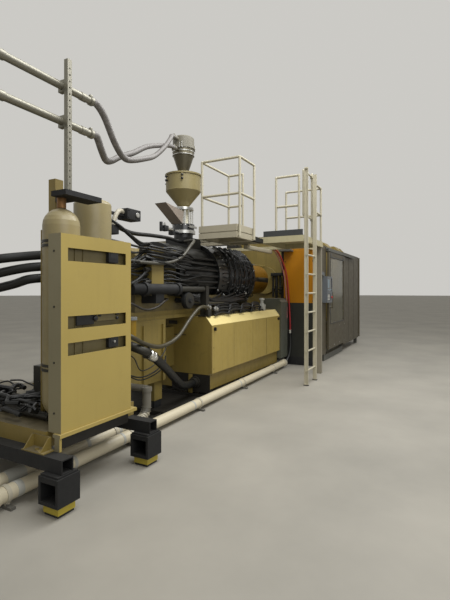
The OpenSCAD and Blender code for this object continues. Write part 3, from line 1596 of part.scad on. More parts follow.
// Operator's panel, hinged on the clamp guard beside the gate
panel_x = guard_x0 + 270;
panel_y = -guard_y - 50;
panel_z = 1830;
panel_w = 400;
panel_h = 540;
panel_lo = [panel_x + 40, panel_y - 100, panel_z - 30 - panel_h];
panel_hi = [panel_x + 40 + panel_w, panel_y + 20, panel_z - 30];

module control_panel() {
  color("#5b6064")
  difference() {
    union() {
      rod_z(panel_x, panel_y, panel_z + fit, panel_z + 60, 60);
      block([panel_x, panel_y - 20, panel_z + 10], [panel_lo[0] + 80, panel_y + 20, panel_z + 50]);
      block([panel_lo[0] + 20, panel_y - 20, panel_hi[2] - 1], [panel_lo[0] + 80, panel_y + 20, panel_z + 10]);
    }
    rod_z(panel_x, panel_y, panel_z - 1, panel_z + 61, 30.1);
  }
  color("#3a3e42")
  difference() {
    block(panel_lo, panel_hi);
    // Recess of the screen and bezel of the keys
    block([panel_lo[0] + 40, panel_lo[1] - 1, panel_hi[2] - 310], [panel_hi[0] - 40, panel_lo[1] + 8,
      panel_hi[2] - 40]);
    block([panel_lo[0] + 40, panel_lo[1] - 1, panel_lo[2] + 40], [stop_x - 50, panel_lo[1] + 5, panel_lo[2] + 180]);
    rod_y(stop_x, panel_lo[1] - 2, panel_lo[1] + 30, stop_z, 24.4);
  }
}

stop_x = panel_hi[0] - 80;
stop_z = panel_lo[2] + 110;
module stop_button() {
  y = panel_lo[1];
  color("#a81d18") {
    rod_y(stop_x, y - 26, y - 8, stop_z, 44);
    rod_y(stop_x, y - 9, y + 20, stop_z, 23.6);
  }
}

cross_beams();
foot_blocks();
levelling_pads();
rear_skid();
accumulator_rack();
accumulator_bottles();
bottle_clamps();
accumulator_manifold();
shutoff_lever();
top_tray();
conveying_mast();
loader_hose_a();
loader_hose_b();
rear_bed();
injection_base();
front_cover();
kick_panel();
cover_latch_left();
cover_latch_right();
power_pack();
pump_coupling();
guide_rails();
water_pipes();
pipe_fittings();
stationary_platen();
tie_bars();
clamp_cylinder();
clamp_base();
guard_panels();
guard_frame();
platform_deck();
landing();
railings();
ladder();
ladder_gate();
rear_hoses();
oil_filter();
feed_hoses();
carriage_frame();
pull_in_cylinders();
pull_in_rods();
barrel();
barrel_jacket();
heater_connectors();
nozzle();
feed_throat();
hopper();
slide_gate();
vacuum_loader();
carriage_hoses();
screw_drive();
screw();
moving_platen();
ejector_plate();
operator_gate();
gate_window();
rear_gate();
purge_guard();
control_panel();
stop_button();
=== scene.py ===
"""Looks of the injection moulding machine: finishes, hoses, cables, fittings and small hardware.

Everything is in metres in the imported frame. +X runs from the injection unit to the clamp, +Z is up
and the operator stands on the -Y side.
"""

import math
import random

import bmesh
import bpy
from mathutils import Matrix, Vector


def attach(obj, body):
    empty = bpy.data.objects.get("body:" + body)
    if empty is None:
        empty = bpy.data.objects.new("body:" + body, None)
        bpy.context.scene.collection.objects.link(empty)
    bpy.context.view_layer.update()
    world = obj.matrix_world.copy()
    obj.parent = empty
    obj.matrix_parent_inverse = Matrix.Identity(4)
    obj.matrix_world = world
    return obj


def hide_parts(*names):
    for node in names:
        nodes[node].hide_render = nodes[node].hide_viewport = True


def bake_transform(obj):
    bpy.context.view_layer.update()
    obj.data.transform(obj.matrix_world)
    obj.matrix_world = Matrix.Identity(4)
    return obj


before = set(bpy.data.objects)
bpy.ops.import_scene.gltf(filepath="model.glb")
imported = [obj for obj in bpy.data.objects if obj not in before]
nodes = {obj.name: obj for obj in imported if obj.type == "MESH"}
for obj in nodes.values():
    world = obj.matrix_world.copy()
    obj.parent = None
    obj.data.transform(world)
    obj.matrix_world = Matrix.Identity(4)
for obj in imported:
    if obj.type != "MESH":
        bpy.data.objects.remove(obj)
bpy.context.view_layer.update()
scene = bpy.context.scene
rng = random.Random(7)
draw = rng.uniform

# Directions along the machine to the clamp, towards the operator, and up
AHEAD, OUT, UP = Vector((1, 0, 0)), Vector((0, -1, 0)), Vector((0, 0, 1))

# Camera, floor and light


def make_camera():
    """The photograph's view, from eye height. Lens and shift follow from its height in pixels."""
    high, focal, horizon = 600, 420, 290
    data = bpy.data.cameras.new("camera")
    data.sensor_width = 36
    data.lens = data.sensor_width * focal / high
    data.shift_y = (horizon - high / 2) / high
    data.clip_end = 500
    camera = bpy.data.objects.new("camera", data)
    scene.collection.objects.link(camera)
    camera.location = (-9.2, -3.75, 1.52)
    camera.rotation_euler = Vector((0.8813, 0.4726, 0)).to_track_quat("-Z", "Y").to_euler()
    scene.camera = camera


def area_lamp(name, place, target, size, watts):
    """A soft rectangular lamp at a place, turned to a target."""
    data = bpy.data.lights.new(name, "AREA")
    data.shape = "RECTANGLE"
    data.size, data.size_y = size
    data.energy = watts
    lamp = bpy.data.objects.new(name, data)
    scene.collection.objects.link(lamp)
    lamp.location = place
    lamp.rotation_euler = (Vector(target) - Vector(place)).to_track_quat("-Z", "Y").to_euler()


# Finishes

finishes = {}


class Graph:
    """A finish's node tree with short calls for the nodes that the finishes use."""

    def __init__(self, name):
        self.material = finishes[name] = bpy.data.materials.new(name)
        self.material.use_nodes = True
        self.tree = self.material.node_tree
        self.shader = self.tree.nodes["Principled BSDF"]
        self.place = self.add("ShaderNodeTexCoord").outputs["Object"]
        self.normal = self.add("ShaderNodeNewGeometry").outputs["Normal"]

    def add(self, kind, inputs=(), **settings):
        node = self.tree.nodes.new(kind)
        for key, value in settings.items():
            setattr(node, key, value)
        for key, value in dict(inputs).items():
            self.put(node.inputs[key], value)
        return node

    def put(self, socket, value):
        if isinstance(value, bpy.types.NodeSocket):
            self.tree.links.new(value, socket)
        elif value is not None:
            socket.default_value = value

    def times(self, a, b):
        return self.add("ShaderNodeMath", {0: a, 1: b}, operation="MULTIPLY").outputs[0]

    def stretch(self, scale):
        return self.add("ShaderNodeMapping", {"Vector": self.place, "Scale": scale}).outputs[0]

    def noise(self, scale, detail=4.0, rough=0.55, place=None):
        node = self.add("ShaderNodeTexNoise",
                        {"Vector": place or self.place, "Scale": scale, "Detail": detail, "Roughness": rough})
        return node.outputs["Fac"]

    def span(self, value, low, high, to_low=0.0, to_high=1.0):
        node = self.add("ShaderNodeMapRange", {"Value": value, "From Min": low, "From Max": high,
                                               "To Min": to_low, "To Max": to_high})
        return node.outputs["Result"]

    def mix(self, share, a, b):
        node = self.add("ShaderNodeMix", data_type="RGBA")
        for socket, value in (("Factor", share), (6, a), (7, b)):
            self.put(node.inputs[socket], value)
        return node.outputs[2]

    def up_facing(self):
        split = self.add("ShaderNodeSeparateXYZ", {0: self.normal})
        return self.span(split.outputs["Z"], 0.55, 0.95)

    def edges(self, radius):
        """0 on flat faces, 1 along the outer and inner edges of the shape."""
        soft = self.add("ShaderNodeBevel", {"Radius": radius}, samples=4).outputs["Normal"]
        same = self.add("ShaderNodeVectorMath", {0: soft, 1: self.normal}, operation="DOT_PRODUCT")
        return self.span(same.outputs["Value"], 0.98, 0.8)

    def bump(self, height, strength, distance):
        node = self.add("ShaderNodeBump", {"Height": height, "Strength": strength, "Distance": distance})
        self.put(self.shader.inputs["Normal"], node.outputs["Normal"])

    def surface(self, colour, rough):
        self.put(self.shader.inputs["Base Color"], colour)
        self.put(self.shader.inputs["Roughness"], rough)


def rgb(red, green, blue):
    """A linear colour from the 0 to 255 values that a picture shows."""
    def linear(v):
        v /= 255
        return v / 12.92 if v <= 0.04045 else ((v + 0.055) / 1.055) ** 2.4
    return (linear(red), linear(green), linear(blue), 1.0)


def shade(colour, by):
    """The colour made darker or lighter by a factor."""
    return tuple(c * by for c in colour[:3]) + (1.0,)


def paint(name, colour, rough=0.45, vary=0.14, vary_scale=0.9, streaks=0.0, grime=0.25, grime_scale=9.0,
          dust=0.0, dust_colour=(150, 140, 118), wear=0.0, worn=(96, 92, 84), coat=0.0):
    """Sprayed machine paint: slow tone changes, dirt, runs down the walls, dust on top and worn edges."""
    g, colour = Graph(name), rgb(*colour)
    base = g.mix(g.span(g.noise(vary_scale, 3), 0.35, 0.65), colour, shade(colour, 1 - vary))
    if streaks:
        run = g.noise(5.0, 5, 0.6, g.stretch((2.6, 2.6, 0.22)))
        base = g.mix(g.span(run, 0.5, 0.78, 0.0, streaks), base, shade(colour, 0.45))
    dirt = g.noise(grime_scale, 8, 0.68)
    base = g.mix(g.span(dirt, 0.56, 0.8, 0.0, grime), base, shade(colour, 0.3))
    if dust:
        share = g.times(g.up_facing(), g.span(g.noise(6.0, 6, 0.6), 0.25, 0.75, 0.3, dust))
        base = g.mix(share, base, rgb(*dust_colour))
    if wear:
        chips = g.span(g.noise(38.0, 6, 0.7), 0.5, 0.62)
        share = g.times(g.edges(0.005), chips)
        base = g.mix(g.times(share, wear), base, rgb(*worn))
    g.surface(base, g.span(dirt, 0.3, 0.75, rough - 0.06, rough + 0.16))
    if coat:
        g.shader.inputs["Coat Weight"].default_value = coat
        g.shader.inputs["Coat Roughness"].default_value = 0.2
    g.bump(g.noise(420.0, 2), 0.12, 0.0006)


def metal(name, colour, rough=0.3, lines=None, oil=0.3, spots=18.0, tarnish=(60, 52, 40), metallic=1.0):
    """Bare metal: fine grinding lines, oily patches and tarnish."""
    g, colour = Graph(name), rgb(*colour)
    grain = g.noise(240.0, 3, 0.6, g.stretch(lines or (1, 1, 1)))
    patches = g.noise(spots, 7, 0.65)
    base = g.mix(g.span(grain, 0.3, 0.7, 0.0, 0.5), colour, shade(colour, 0.74))
    base = g.mix(g.span(patches, 0.5, 0.75, 0.0, oil), base, rgb(*tarnish))
    g.surface(base, g.span(patches, 0.3, 0.75, rough - 0.08, rough + 0.2))
    g.shader.inputs["Metallic"].default_value = metallic
    g.bump(grain, 0.12, 0.0005)


def rubber(name, colour, rough=0.5, dust=0.25, dust_colour=(120, 112, 96), weave_scale=160.0):
    """Hose or cable cover with a woven wrap, scuffs and settled dust."""
    g, colour = Graph(name), rgb(*colour)
    scuff = g.noise(26.0, 6, 0.7)
    base = g.mix(g.span(scuff, 0.45, 0.8, 0.0, 0.6), colour, shade(colour, 2.4))
    share = g.times(g.up_facing(), g.span(g.noise(12.0, 5), 0.3, 0.75, 0.0, dust))
    base = g.mix(share, base, rgb(*dust_colour))
    g.surface(base, g.span(scuff, 0.3, 0.8, rough - 0.1, rough + 0.2))
    weave = g.add("ShaderNodeTexVoronoi", {"Vector": g.place, "Scale": weave_scale})
    g.bump(weave.outputs["Distance"], 0.25, 0.0012)


def plastic(name, colour, rough=0.4, grain=0.1, scuffs=0.2):
    """Moulded plastic with a fine grain and light scuffs."""
    g, colour = Graph(name), rgb(*colour)
    scuff = g.noise(30.0, 6, 0.7)
    base = g.mix(g.span(scuff, 0.5, 0.8, 0.0, scuffs), colour, shade(colour, 1.5))
    g.surface(base, g.span(scuff, 0.3, 0.8, rough - 0.05, rough + 0.15))
    g.bump(g.noise(700.0, 2), grain, 0.0005)


def clear(name, colour):
    """Clear sheet with smears."""
    g, colour = Graph(name), rgb(*colour)
    smear = g.noise(9.0, 6, 0.7)
    g.surface(g.mix(g.span(smear, 0.4, 0.8, 0.0, 0.4), colour, shade(colour, 0.7)),
              g.span(smear, 0.3, 0.8, 0.06, 0.26))
    g.shader.inputs["Transmission Weight"].default_value = 0.85
    g.shader.inputs["IOR"].default_value = 1.2
    g.bump(g.noise(14.0, 2), 0.03, 0.001)


def make_finishes():
    """Every finish by its name. Colours are given as a picture shows them, from 0 to 255."""
    paint("cream_paint", (170, 150, 82), vary=0.1, streaks=0.1, grime=0.1, dust=0.15, wear=0.5)
    paint("deep_cream", (134, 116, 58), vary=0.16, streaks=0.35, grime=0.35, dust=0.3, wear=0.5)
    paint("oily_cream", (136, 119, 62), rough=0.4, vary=0.3, streaks=0.5, grime=0.6, dust=0.2, wear=0.4)
    paint("cover_cream", (166, 145, 76), vary=0.12, streaks=0.32, grime=0.12, dust=0.1, wear=0.6)
    paint("bottle_paint", (148, 136, 98), rough=0.36, vary=0.14, vary_scale=2.2, grime=0.3, dust=0.5,
          dust_colour=(170, 158, 130))
    paint("black_paint", (9, 10, 11), rough=0.7, vary=0.2, grime=0.25, dust=0.06, dust_colour=(50, 48, 43),
          wear=0.25, worn=(80, 78, 72))
    paint("pad_yellow", (178, 160, 52), rough=0.5, vary=0.2, grime=0.9, grime_scale=26.0, wear=1.0,
          worn=(70, 64, 40))
    paint("orange_paint", (186, 124, 6), rough=0.4, vary=0.12, streaks=0.2, grime=0.15, wear=0.3)
    paint("frame_grey", (88, 88, 82), rough=0.5, grime=0.2, dust=0.2, wear=0.4)
    paint("platform_grey", (170, 163, 142), rough=0.55, vary=0.1, grime=0.25, streaks=0.15, dust=0.3,
          wear=0.4)
    paint("landing_cream", (180, 172, 138), rough=0.55, vary=0.1, grime=0.25, streaks=0.15, dust=0.2,
          wear=0.4)
    paint("rail_white", (184, 178, 156), rough=0.45, vary=0.08, grime=0.3, grime_scale=20.0, wear=0.5)
    paint("gate_grey", (74, 67, 49), rough=0.5, vary=0.1, grime=0.2, dust=0.2, wear=0.4)
    paint("motor_blue", (70, 104, 122), rough=0.45, grime=0.5, dust=0.5)
    paint("tank_grey", (128, 132, 134), rough=0.5, grime=0.5, streaks=0.3, dust=0.4)
    paint("red_paint", (150, 40, 28), rough=0.45, grime=0.4, wear=0.8)
    paint("filter_yellow", (150, 118, 14), rough=0.4, grime=0.35, streaks=0.2)
    paint("amber_guard", (116, 82, 16), rough=0.3, grime=0.45, streaks=0.3)
    paint("jacket_black", (12, 13, 12), rough=0.3, vary=0.3, grime=0.4, dust=0.12, dust_colour=(80, 76, 66),
          coat=0.3)
    paint("hopper_cream", (142, 130, 88), rough=0.4, vary=0.12, grime=0.25, streaks=0.2)
    paint("chute_brown", (150, 138, 126), rough=0.5, vary=0.2, grime=0.5, dust=0.3)
    paint("feed_black", (20, 21, 19), rough=0.34, vary=0.3, grime=0.4, dust=0.15, dust_colour=(70, 68, 58))
    paint("gloss_black", (20, 22, 24), rough=0.16, vary=0.2, grime=0.15, dust=0.1, coat=0.5)
    # Greyer, darker cream for the rack's side towards -X: painted shade.
    paint("rack_side_painted_shade", (132, 125, 98), vary=0.16, streaks=0.2, grime=0.15, wear=0.4)
    paint("slot_olive", (110, 100, 66), rough=0.4, vary=0.2, grime=0.4, streaks=0.3)
    paint("tread_black", (58, 60, 60), rough=0.6, vary=0.2, grime=0.4, dust=0.3, dust_colour=(96, 94, 88))
    paint("leg_grey", (140, 134, 118), rough=0.5, vary=0.15, streaks=0.3, grime=0.3, wear=0.4)
    # Dark grey-green of the lower end panels, made near black as painted shade under the platform.
    paint("panel_green_and_painted_shade", (40, 42, 38), rough=0.5, vary=0.2, streaks=0.3, grime=0.4)
    paint("drip_grey", (86, 88, 78), rough=0.45, vary=0.2, streaks=0.4, grime=0.4, dust=0.4)
    paint("lid_grey", (124, 120, 106), rough=0.4, vary=0.2, grime=0.4)
    paint("sled_dark", (104, 92, 54), rough=0.36, vary=0.35, streaks=0.4, grime=0.7, grime_scale=5.0)
    paint("pale_valve", (176, 176, 168), rough=0.45, grime=0.5)
    paint("beam_black", (16, 17, 18), rough=0.6, grime=0.2)
    # Lighter cream for the chamfers of the front cover and the base: a painted highlight, as if lit from
    # above.
    paint("chamfer_painted_highlight", (226, 208, 142), vary=0.08, streaks=0.1, grime=0.1, wear=0.4)
    # Near black: own colour of the platen's manifold and the purge guard's band; painted shade on the rack's
    # low web, the base's end and the trays.
    paint("dark_and_painted_shade", (24, 21, 13), rough=0.6, vary=0.3, grime=0.5)
    # Darker olive for the top faces of the skid behind the rack's front.
    paint("skid_top_darker", (84, 75, 44), rough=0.45, vary=0.3, streaks=0.3, grime=0.6, dust=0.2)
    metal("dark_steel", (58, 57, 52), rough=0.42, oil=0.6, metallic=0.6)
    metal("galvanised", (140, 137, 124), rough=0.42, oil=0.2, spots=40.0, tarnish=(120, 124, 126),
          metallic=0.7)
    metal("ground_steel", (190, 190, 186), rough=0.25, lines=(0.1, 4, 4), oil=0.35)
    metal("bright_steel", (214, 214, 210), rough=0.22, oil=0.25)
    metal("silver_ring", (200, 200, 196), rough=0.3, lines=(0.4, 0.4, 6), oil=0.3)
    metal("loader_grey", (106, 101, 85), rough=0.34, lines=(0.4, 0.4, 4), oil=0.3, metallic=0.75)
    metal("copper_cap", (132, 96, 56), rough=0.45, oil=0.6, metallic=0.6)
    rubber("black_hose", (13, 14, 13), rough=0.44, dust=0.12, dust_colour=(70, 66, 52))
    rubber("tyre_black", (24, 25, 26), rough=0.6, dust=0.2)
    rubber("grey_hose", (108, 105, 102), rough=0.5, dust=0.15, dust_colour=(170, 168, 164), weave_scale=120.0)
    rubber("pale_hose", (64, 62, 54), rough=0.4, dust=0.1)
    rubber("brown_hose", (26, 22, 15), rough=0.4, dust=0.1)
    rubber("olive_hose", (54, 49, 31), rough=0.4, dust=0.2)
    rubber("red_hose", (140, 30, 34), rough=0.4, dust=0.1)
    rubber("orange_rubber", (196, 128, 50), rough=0.5)
    rubber("pink_hose", (150, 96, 96), rough=0.45)
    plastic("white_pipe", (196, 187, 162), rough=0.35, scuffs=0.0)
    plastic("pipe_grey", (92, 90, 84), rough=0.5)
    plastic("black_plastic", (26, 27, 29), rough=0.4)
    plastic("panel_grey", (92, 96, 100), rough=0.5)
    plastic("red_plastic", (170, 26, 20), rough=0.25)
    plastic("white_plastic", (210, 210, 202), rough=0.4)
    plastic("cable_black", (14, 15, 15), rough=0.42)
    plastic("seam_dark", (46, 42, 32), rough=0.6)
    plastic("screen_glow", (96, 118, 128), rough=0.3)
    plastic("lamp_white", (158, 152, 132), rough=0.4)
    plastic("milky_tube", (206, 202, 184), rough=0.3)
    plastic("screen_glass", (26, 30, 34), rough=0.12, grain=0.02)
    plastic("elbow_grey", (104, 101, 92), rough=0.35)
    plastic("pale_band", (176, 170, 152), rough=0.4)
    clear("window_clear", (176, 172, 152))
    clear("glazing", (176, 172, 152))


# The nodes that each finish covers
FINISH_NODES = {
    "black_paint": "cross_beams foot_blocks top_tray pull_in_cylinders",
    "pad_yellow": "levelling_pads",
    "deep_cream": "rear_skid injection_base kick_panel clamp_cylinder clamp_base moving_platen",
    "cream_paint": "accumulator_rack",
    "bottle_paint": "accumulator_bottles",
    "dark_steel": "bottle_clamps accumulator_manifold pull_in_rods barrel nozzle",
    "red_paint": "shutoff_lever",
    "galvanised": "conveying_mast",
    "oily_cream": "rear_bed guide_rails stationary_platen carriage_frame screw_drive",
    "cover_cream": "front_cover",
    "black_plastic": "cover_latch_left cover_latch_right",
    "motor_blue": "power_pack",
    "orange_rubber": "pump_coupling",
    "white_pipe": "water_pipes",
    "pipe_grey": "pipe_fittings",
    "ground_steel": "tie_bars slide_gate screw ejector_plate",
    "orange_paint": "guard_panels",
    "frame_grey": "guard_frame",
    "platform_grey": "platform_deck",
    "landing_cream": "landing",
    "rail_white": "railings ladder ladder_gate",
    "black_hose": "rear_hoses feed_hoses carriage_hoses",
    "filter_yellow": "oil_filter",
    "jacket_black": "barrel_jacket",
    "bright_steel": "heater_connectors",
    "feed_black": "feed_throat",
    "hopper_cream": "hopper",
    "loader_grey": "vacuum_loader",
    "gate_grey": "operator_gate rear_gate",
    "window_clear": "gate_window",
    "amber_guard": "purge_guard",
    "panel_grey": "control_panel",
    "red_plastic": "stop_button",
    "grey_hose": "loader_hose_a loader_hose_b",
}


# Faces of a node that carry another finish, picked by the place p and the direction n of the face
FACE_FINISH = {
    # Painted shadow: the rack's front faces below the skid's top get the near-black finish.
    "accumulator_rack": [("dark_and_painted_shade", lambda p, n: n.y < -0.9 and -1.302 < p.y < -1.28 and p.z < 0.505),
                         # Painted shade: the rack's faces towards -X get a greyer, darker cream.
                         ("rack_side_painted_shade", lambda p, n: n.x < -0.9 and p.x < -7.12)],
    # The skid's top faces behind the rack's front sheet are painted darker.
    "rear_skid": [("skid_top_darker", lambda p, n: n.z > 0.9 and p.y > -1.2)],
    "levelling_pads": [("tyre_black", lambda p, n: p.z < 0.0181 or p.x > -6.1)],
    "pipe_fittings": [("pale_band", lambda p, n: 0.03 < p.z < 0.165),
                      ("elbow_grey", lambda p, n: p.z > 0.165)],
    # Painted highlight: the sloping chamfer faces between front and top get the lighter cream.
    "front_cover": [("chamfer_painted_highlight", lambda p, n: -0.9 < n.y < -0.3 and n.z > 0.3)],
    "injection_base": [("chamfer_painted_highlight", lambda p, n: -0.9 < n.y < -0.3 and n.z > 0.3)],
    "landing": [("tread_black", lambda p, n: p.z > 2.4001),
                ("leg_grey", lambda p, n: p.y < -1.5 and p.z < 2.29),
                ("beam_black", lambda p, n: p.x < -2.73 and p.y > -1.001)],
    "guard_panels": [("gate_grey", lambda p, n: p.x > 1.3 or abs(n.y) > 0.9 and p.x > -0.9),
                     # Lower end panels of the guards: dark grey-green paint, darkened further as painted
                     # shade.
                     ("panel_green_and_painted_shade",
                      lambda p, n: p.x < -0.965 and p.z < 1.2602 and 0.72 < abs(p.y) < 1.3699)],
    "feed_throat": [("chute_brown", lambda p, n: p.x < -3.79 and p.z > 2.53),
                    ("silver_ring", lambda p, n: 2.4085 < p.z < 2.4565),
                    ("gloss_black", lambda p, n: 2.4565 < p.z < 2.5565),
                    ("bright_steel",
                     lambda p, n: p.z > 2.802 or p.z > 2.5565 and math.hypot(p.x + 3.61, p.y) > 0.1),
                    ("milky_tube", lambda p, n: p.z > 2.5565)],
    "vacuum_loader": [("lid_grey", lambda p, n: p.z > 3.748)],
    "oil_filter": [("tank_grey", lambda p, n: p.z > 1.1835 or p.y > -0.52)],
    "top_tray": [("copper_cap", lambda p, n: p.z < 2.2395)],
    "clamp_base": [("ground_steel", lambda p, n: abs(p.y) > 0.65 and 0.6401 < p.z < 0.7301 and p.x > 0),
                   ("drip_grey", lambda p, n: p.x < -1.03 and p.y < -0.4551)],
    "power_pack": [("motor_blue", lambda p, n: p.x < -2.94), ("dark_steel", lambda p, n: p.x < -2.35),
                   ("tank_grey", lambda p, n: True)],
    "screw_drive": [("black_paint", lambda p, n: p.x < -5.851), ("ground_steel", lambda p, n: p.x > -5.699)],
    "ladder": [("tyre_black", lambda p, n: p.z < 0.0121)],
    "purge_guard": [("dark_and_painted_shade", lambda p, n: abs(p.z - 1.73) < 0.045),
                    ("frame_grey", lambda p, n: p.z > 2.045)],
    "rear_gate": [("glazing", lambda p, n: abs(p.y - 1.437) < 0.0035 and -0.04 < p.x < 1.22)],
    "control_panel": [("screen_glass", lambda p, n: abs(p.y + 1.542) < 0.0006),
                      ("black_plastic", lambda p, n: abs(p.y + 1.545) < 0.0006)],
    "carriage_frame": [("sled_dark", lambda p, n: p.z < 1.4715 or p.x > -4.79)],
    "tie_bars": [("dark_steel", lambda p, n: p.x < -0.24)],
}


def dress_nodes():
    """Gives each node its finish, and the faces that its rules pick another."""
    for finish, names in FINISH_NODES.items():
        for name in names.split():
            node, rules = nodes[name], FACE_FINISH.get(name, [])
            node.data.materials.clear()
            for used in [finish] + [other for other, _ in rules]:
                node.data.materials.append(finishes[used])
            place, turn = node.matrix_world, node.matrix_world.to_3x3()
            for face in node.data.polygons:
                p, n = place @ face.center, turn @ face.normal
                face.material_index = next((i + 1 for i, (_, test) in enumerate(rules) if test(p, n)), 0)


# Curves, profiles and pieces


def smooth_path(points, steps):
    """Catmull-Rom curve through the points, with that many steps in each stretch."""
    p = [Vector(q) for q in points]
    line = []
    for i in range(len(p) - 1):
        a, b, c, d = p[max(i - 1, 0)], p[i], p[i + 1], p[min(i + 2, len(p) - 1)]
        for j in range(steps):
            t = j / steps
            line.append(0.5 * (2 * b + (c - a) * t + (2 * a - 5 * b + 4 * c - d) * t * t
                               + (3 * b - a - 3 * c + d) * t ** 3))
    return line + [p[-1]]


def even_path(points, step):
    """The smooth curve with its points a fixed distance apart, for ribs of equal pitch."""
    line = smooth_path(points, 12)
    lengths = [(b - a).length for a, b in zip(line, line[1:])]
    total = sum(lengths)
    count = max(2, round(total / step))
    result, seg, done = [line[0]], 0, 0.0
    for k in range(1, count):
        target = total * k / count
        while done + lengths[seg] < target:
            done += lengths[seg]
            seg += 1
        result.append(line[seg].lerp(line[seg + 1], (target - done) / lengths[seg]))
    return result + [line[-1]]


def band(length, low, high, edge=0.002):
    """The profile of a ring whose rims slope down to the radius that it sits on."""
    return [(0, low), (edge, high), (length - edge, high), (length, low)]


def head(radius, height, top, slope=0.002):
    """The profile of a screw head or boss with a sloping rim."""
    return [(0, radius), (height, radius), (height + slope, top)]


def stepped(radius, height, neck, end, slope=0.004):
    """The profile of a fitting that steps down to a thinner neck."""
    return head(radius, height, neck, slope) + [(end, neck)]


def ring(count, first=0):
    """Level unit vectors, evenly spaced round a circle from the first direction in degrees."""
    turns = [math.radians(first + 360 * k / count) for k in range(count)]
    return [Vector((math.cos(a), math.sin(a), 0)) for a in turns]


class Part:
    """A piece of the scene while it is made from tubes, turned parts and boxes."""

    def __init__(self):
        self.mesh = bmesh.new()

    def tube(self, line, radii, sides=10):
        """Sweeps a circle along a line. radii is one number or one for each point."""
        line = [Vector(q) for q in line]
        if not hasattr(radii, "__len__"):
            radii = [radii] * len(line)
        tangent = (line[1] - line[0]).normalized()
        side = tangent.orthogonal().normalized()
        rings = []
        for i, point in enumerate(line):
            ahead = line[min(i + 1, len(line) - 1)] - line[max(i - 1, 0)]
            if ahead.length > 1e-9:
                tangent = ahead.normalized()
            side = (side - tangent * side.dot(tangent)).normalized()
            up = tangent.cross(side)
            rings.append([self.mesh.verts.new(point + radii[i] * (math.cos(a) * side + math.sin(a) * up))
                          for a in (2 * math.pi * k / sides for k in range(sides))])
        for low, high in zip(rings, rings[1:]):
            for k in range(sides):
                self.mesh.faces.new((low[k], low[(k + 1) % sides], high[(k + 1) % sides], high[k]))
        self.mesh.faces.new(list(reversed(rings[0])))
        self.mesh.faces.new(rings[-1])

    def turned(self, base, axis, profile, sides=20):
        """A turned part: profile is (distance along the axis, radius) pairs."""
        axis = Vector(axis).normalized()
        self.tube([Vector(base) + axis * (a + i * 1e-7) for i, (a, _) in enumerate(profile)],
                 [max(r, 1e-4) for _, r in profile], sides)

    def box(self, lo, hi, bevel=0.0):
        """A box between two opposite corners, its edges rounded where a bevel is given."""
        made = bmesh.ops.create_cube(self.mesh, size=1.0)
        size = Vector(hi) - Vector(lo)
        centre = (Vector(hi) + Vector(lo)) / 2
        for v in made["verts"]:
            v.co = v.co * size + centre
        if bevel:
            edges = list(dict.fromkeys(e for v in made["verts"] for e in v.link_edges))
            bmesh.ops.bevel(self.mesh, geom=edges, offset=bevel, segments=2, affect="EDGES", profile=0.6)

    def place(self, name, finish, body="root"):
        """Ends the piece, which then rides on a body (None leaves it on no body)."""
        data = bpy.data.meshes.new(name)
        bmesh.ops.recalc_face_normals(self.mesh, faces=self.mesh.faces)
        self.mesh.to_mesh(data)
        self.mesh.free()
        for face in data.polygons:
            face.use_smooth = True
        data.set_sharp_from_angle(angle=math.radians(38))
        data.materials.append(finishes[finish])
        piece = bpy.data.objects.new(name, data)
        scene.collection.objects.link(piece)
        if body:
            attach(piece, body)
        return piece


# Cords: the two conveying hoses

# Where the hoses push on: the ends of the mast's two pipes, and the loader's two ports
MAST_Y, PIPE_HEIGHTS, PORT_HEIGHTS = -1.0475, (3.13, 2.85), (3.88, 3.718)
HOSE_D = 0.064
HOSE_A = [(-6.564, -1.048, 3.13), (-6.515, -1.048, 3.13), (-6.395, -1.022, 3.068), (-6.21, -0.965, 2.915),
          (-6.02, -0.89, 2.85), (-5.82, -0.815, 2.87), (-5.353, -0.639, 3.041), (-4.884, -0.414, 3.239),
          (-4.507, -0.285, 3.48), (-4.166, -0.143, 3.73), (-3.976, -0.031, 3.853), (-3.88, 0, 3.88),
          (-3.821, 0, 3.88)]
HOSE_B = [(-6.564, -1.048, 2.85), (-6.515, -1.048, 2.85), (-6.38, -0.97, 2.785), (-6.2, -0.85, 2.76),
          (-6.04, -0.77, 2.81), (-5.841, -0.7, 2.916), (-5.489, -0.58, 3.078), (-5.051, -0.42, 3.303),
          (-4.489, -0.2, 3.527), (-4.12, -0.05, 3.662), (-3.94, 0, 3.714), (-3.87, 0, 3.718),
          (-3.821, 0, 3.718)]


def conveying_hose(name, points, node):
    """A corrugated hose whose ribs are 12 mm apart."""
    line = even_path(points, 0.006)
    radii = [HOSE_D / 2 - (0.0022 if i % 2 else 0.0) for i in range(len(line))]
    mesh = Part()
    mesh.tube(line, radii, 14)
    hose = mesh.place(name, "grey_hose", None)
    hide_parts(node)
    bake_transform(hose)


def make_hose_clamps():
    """Band clamps where the conveying hoses push on, and a sleeve over the joint of each pipe."""
    mesh = Part()
    for z in PIPE_HEIGHTS:
        mesh.turned((-6.7, MAST_Y, z), AHEAD, band(0.062, 0.0304, 0.034))
        mesh.turned((-6.6, MAST_Y, z), AHEAD, band(0.032, 0.0304, 0.038))
        mesh.box((-6.597, -1.06, z + 0.034), (-6.573, -1.035, z + 0.052), 0.002)
    mesh.place("pipe_clamps", "galvanised")
    mesh = Part()
    for z in PORT_HEIGHTS:
        mesh.turned((-3.875, 0, z), AHEAD, band(0.028, 0.0325, 0.036))
        mesh.box((-3.873, -0.012, z + 0.033), (-3.852, 0.012, z + 0.05), 0.002)
    mesh.place("loader_clamps", "galvanised", "carriage")


# Hoses and their fittings


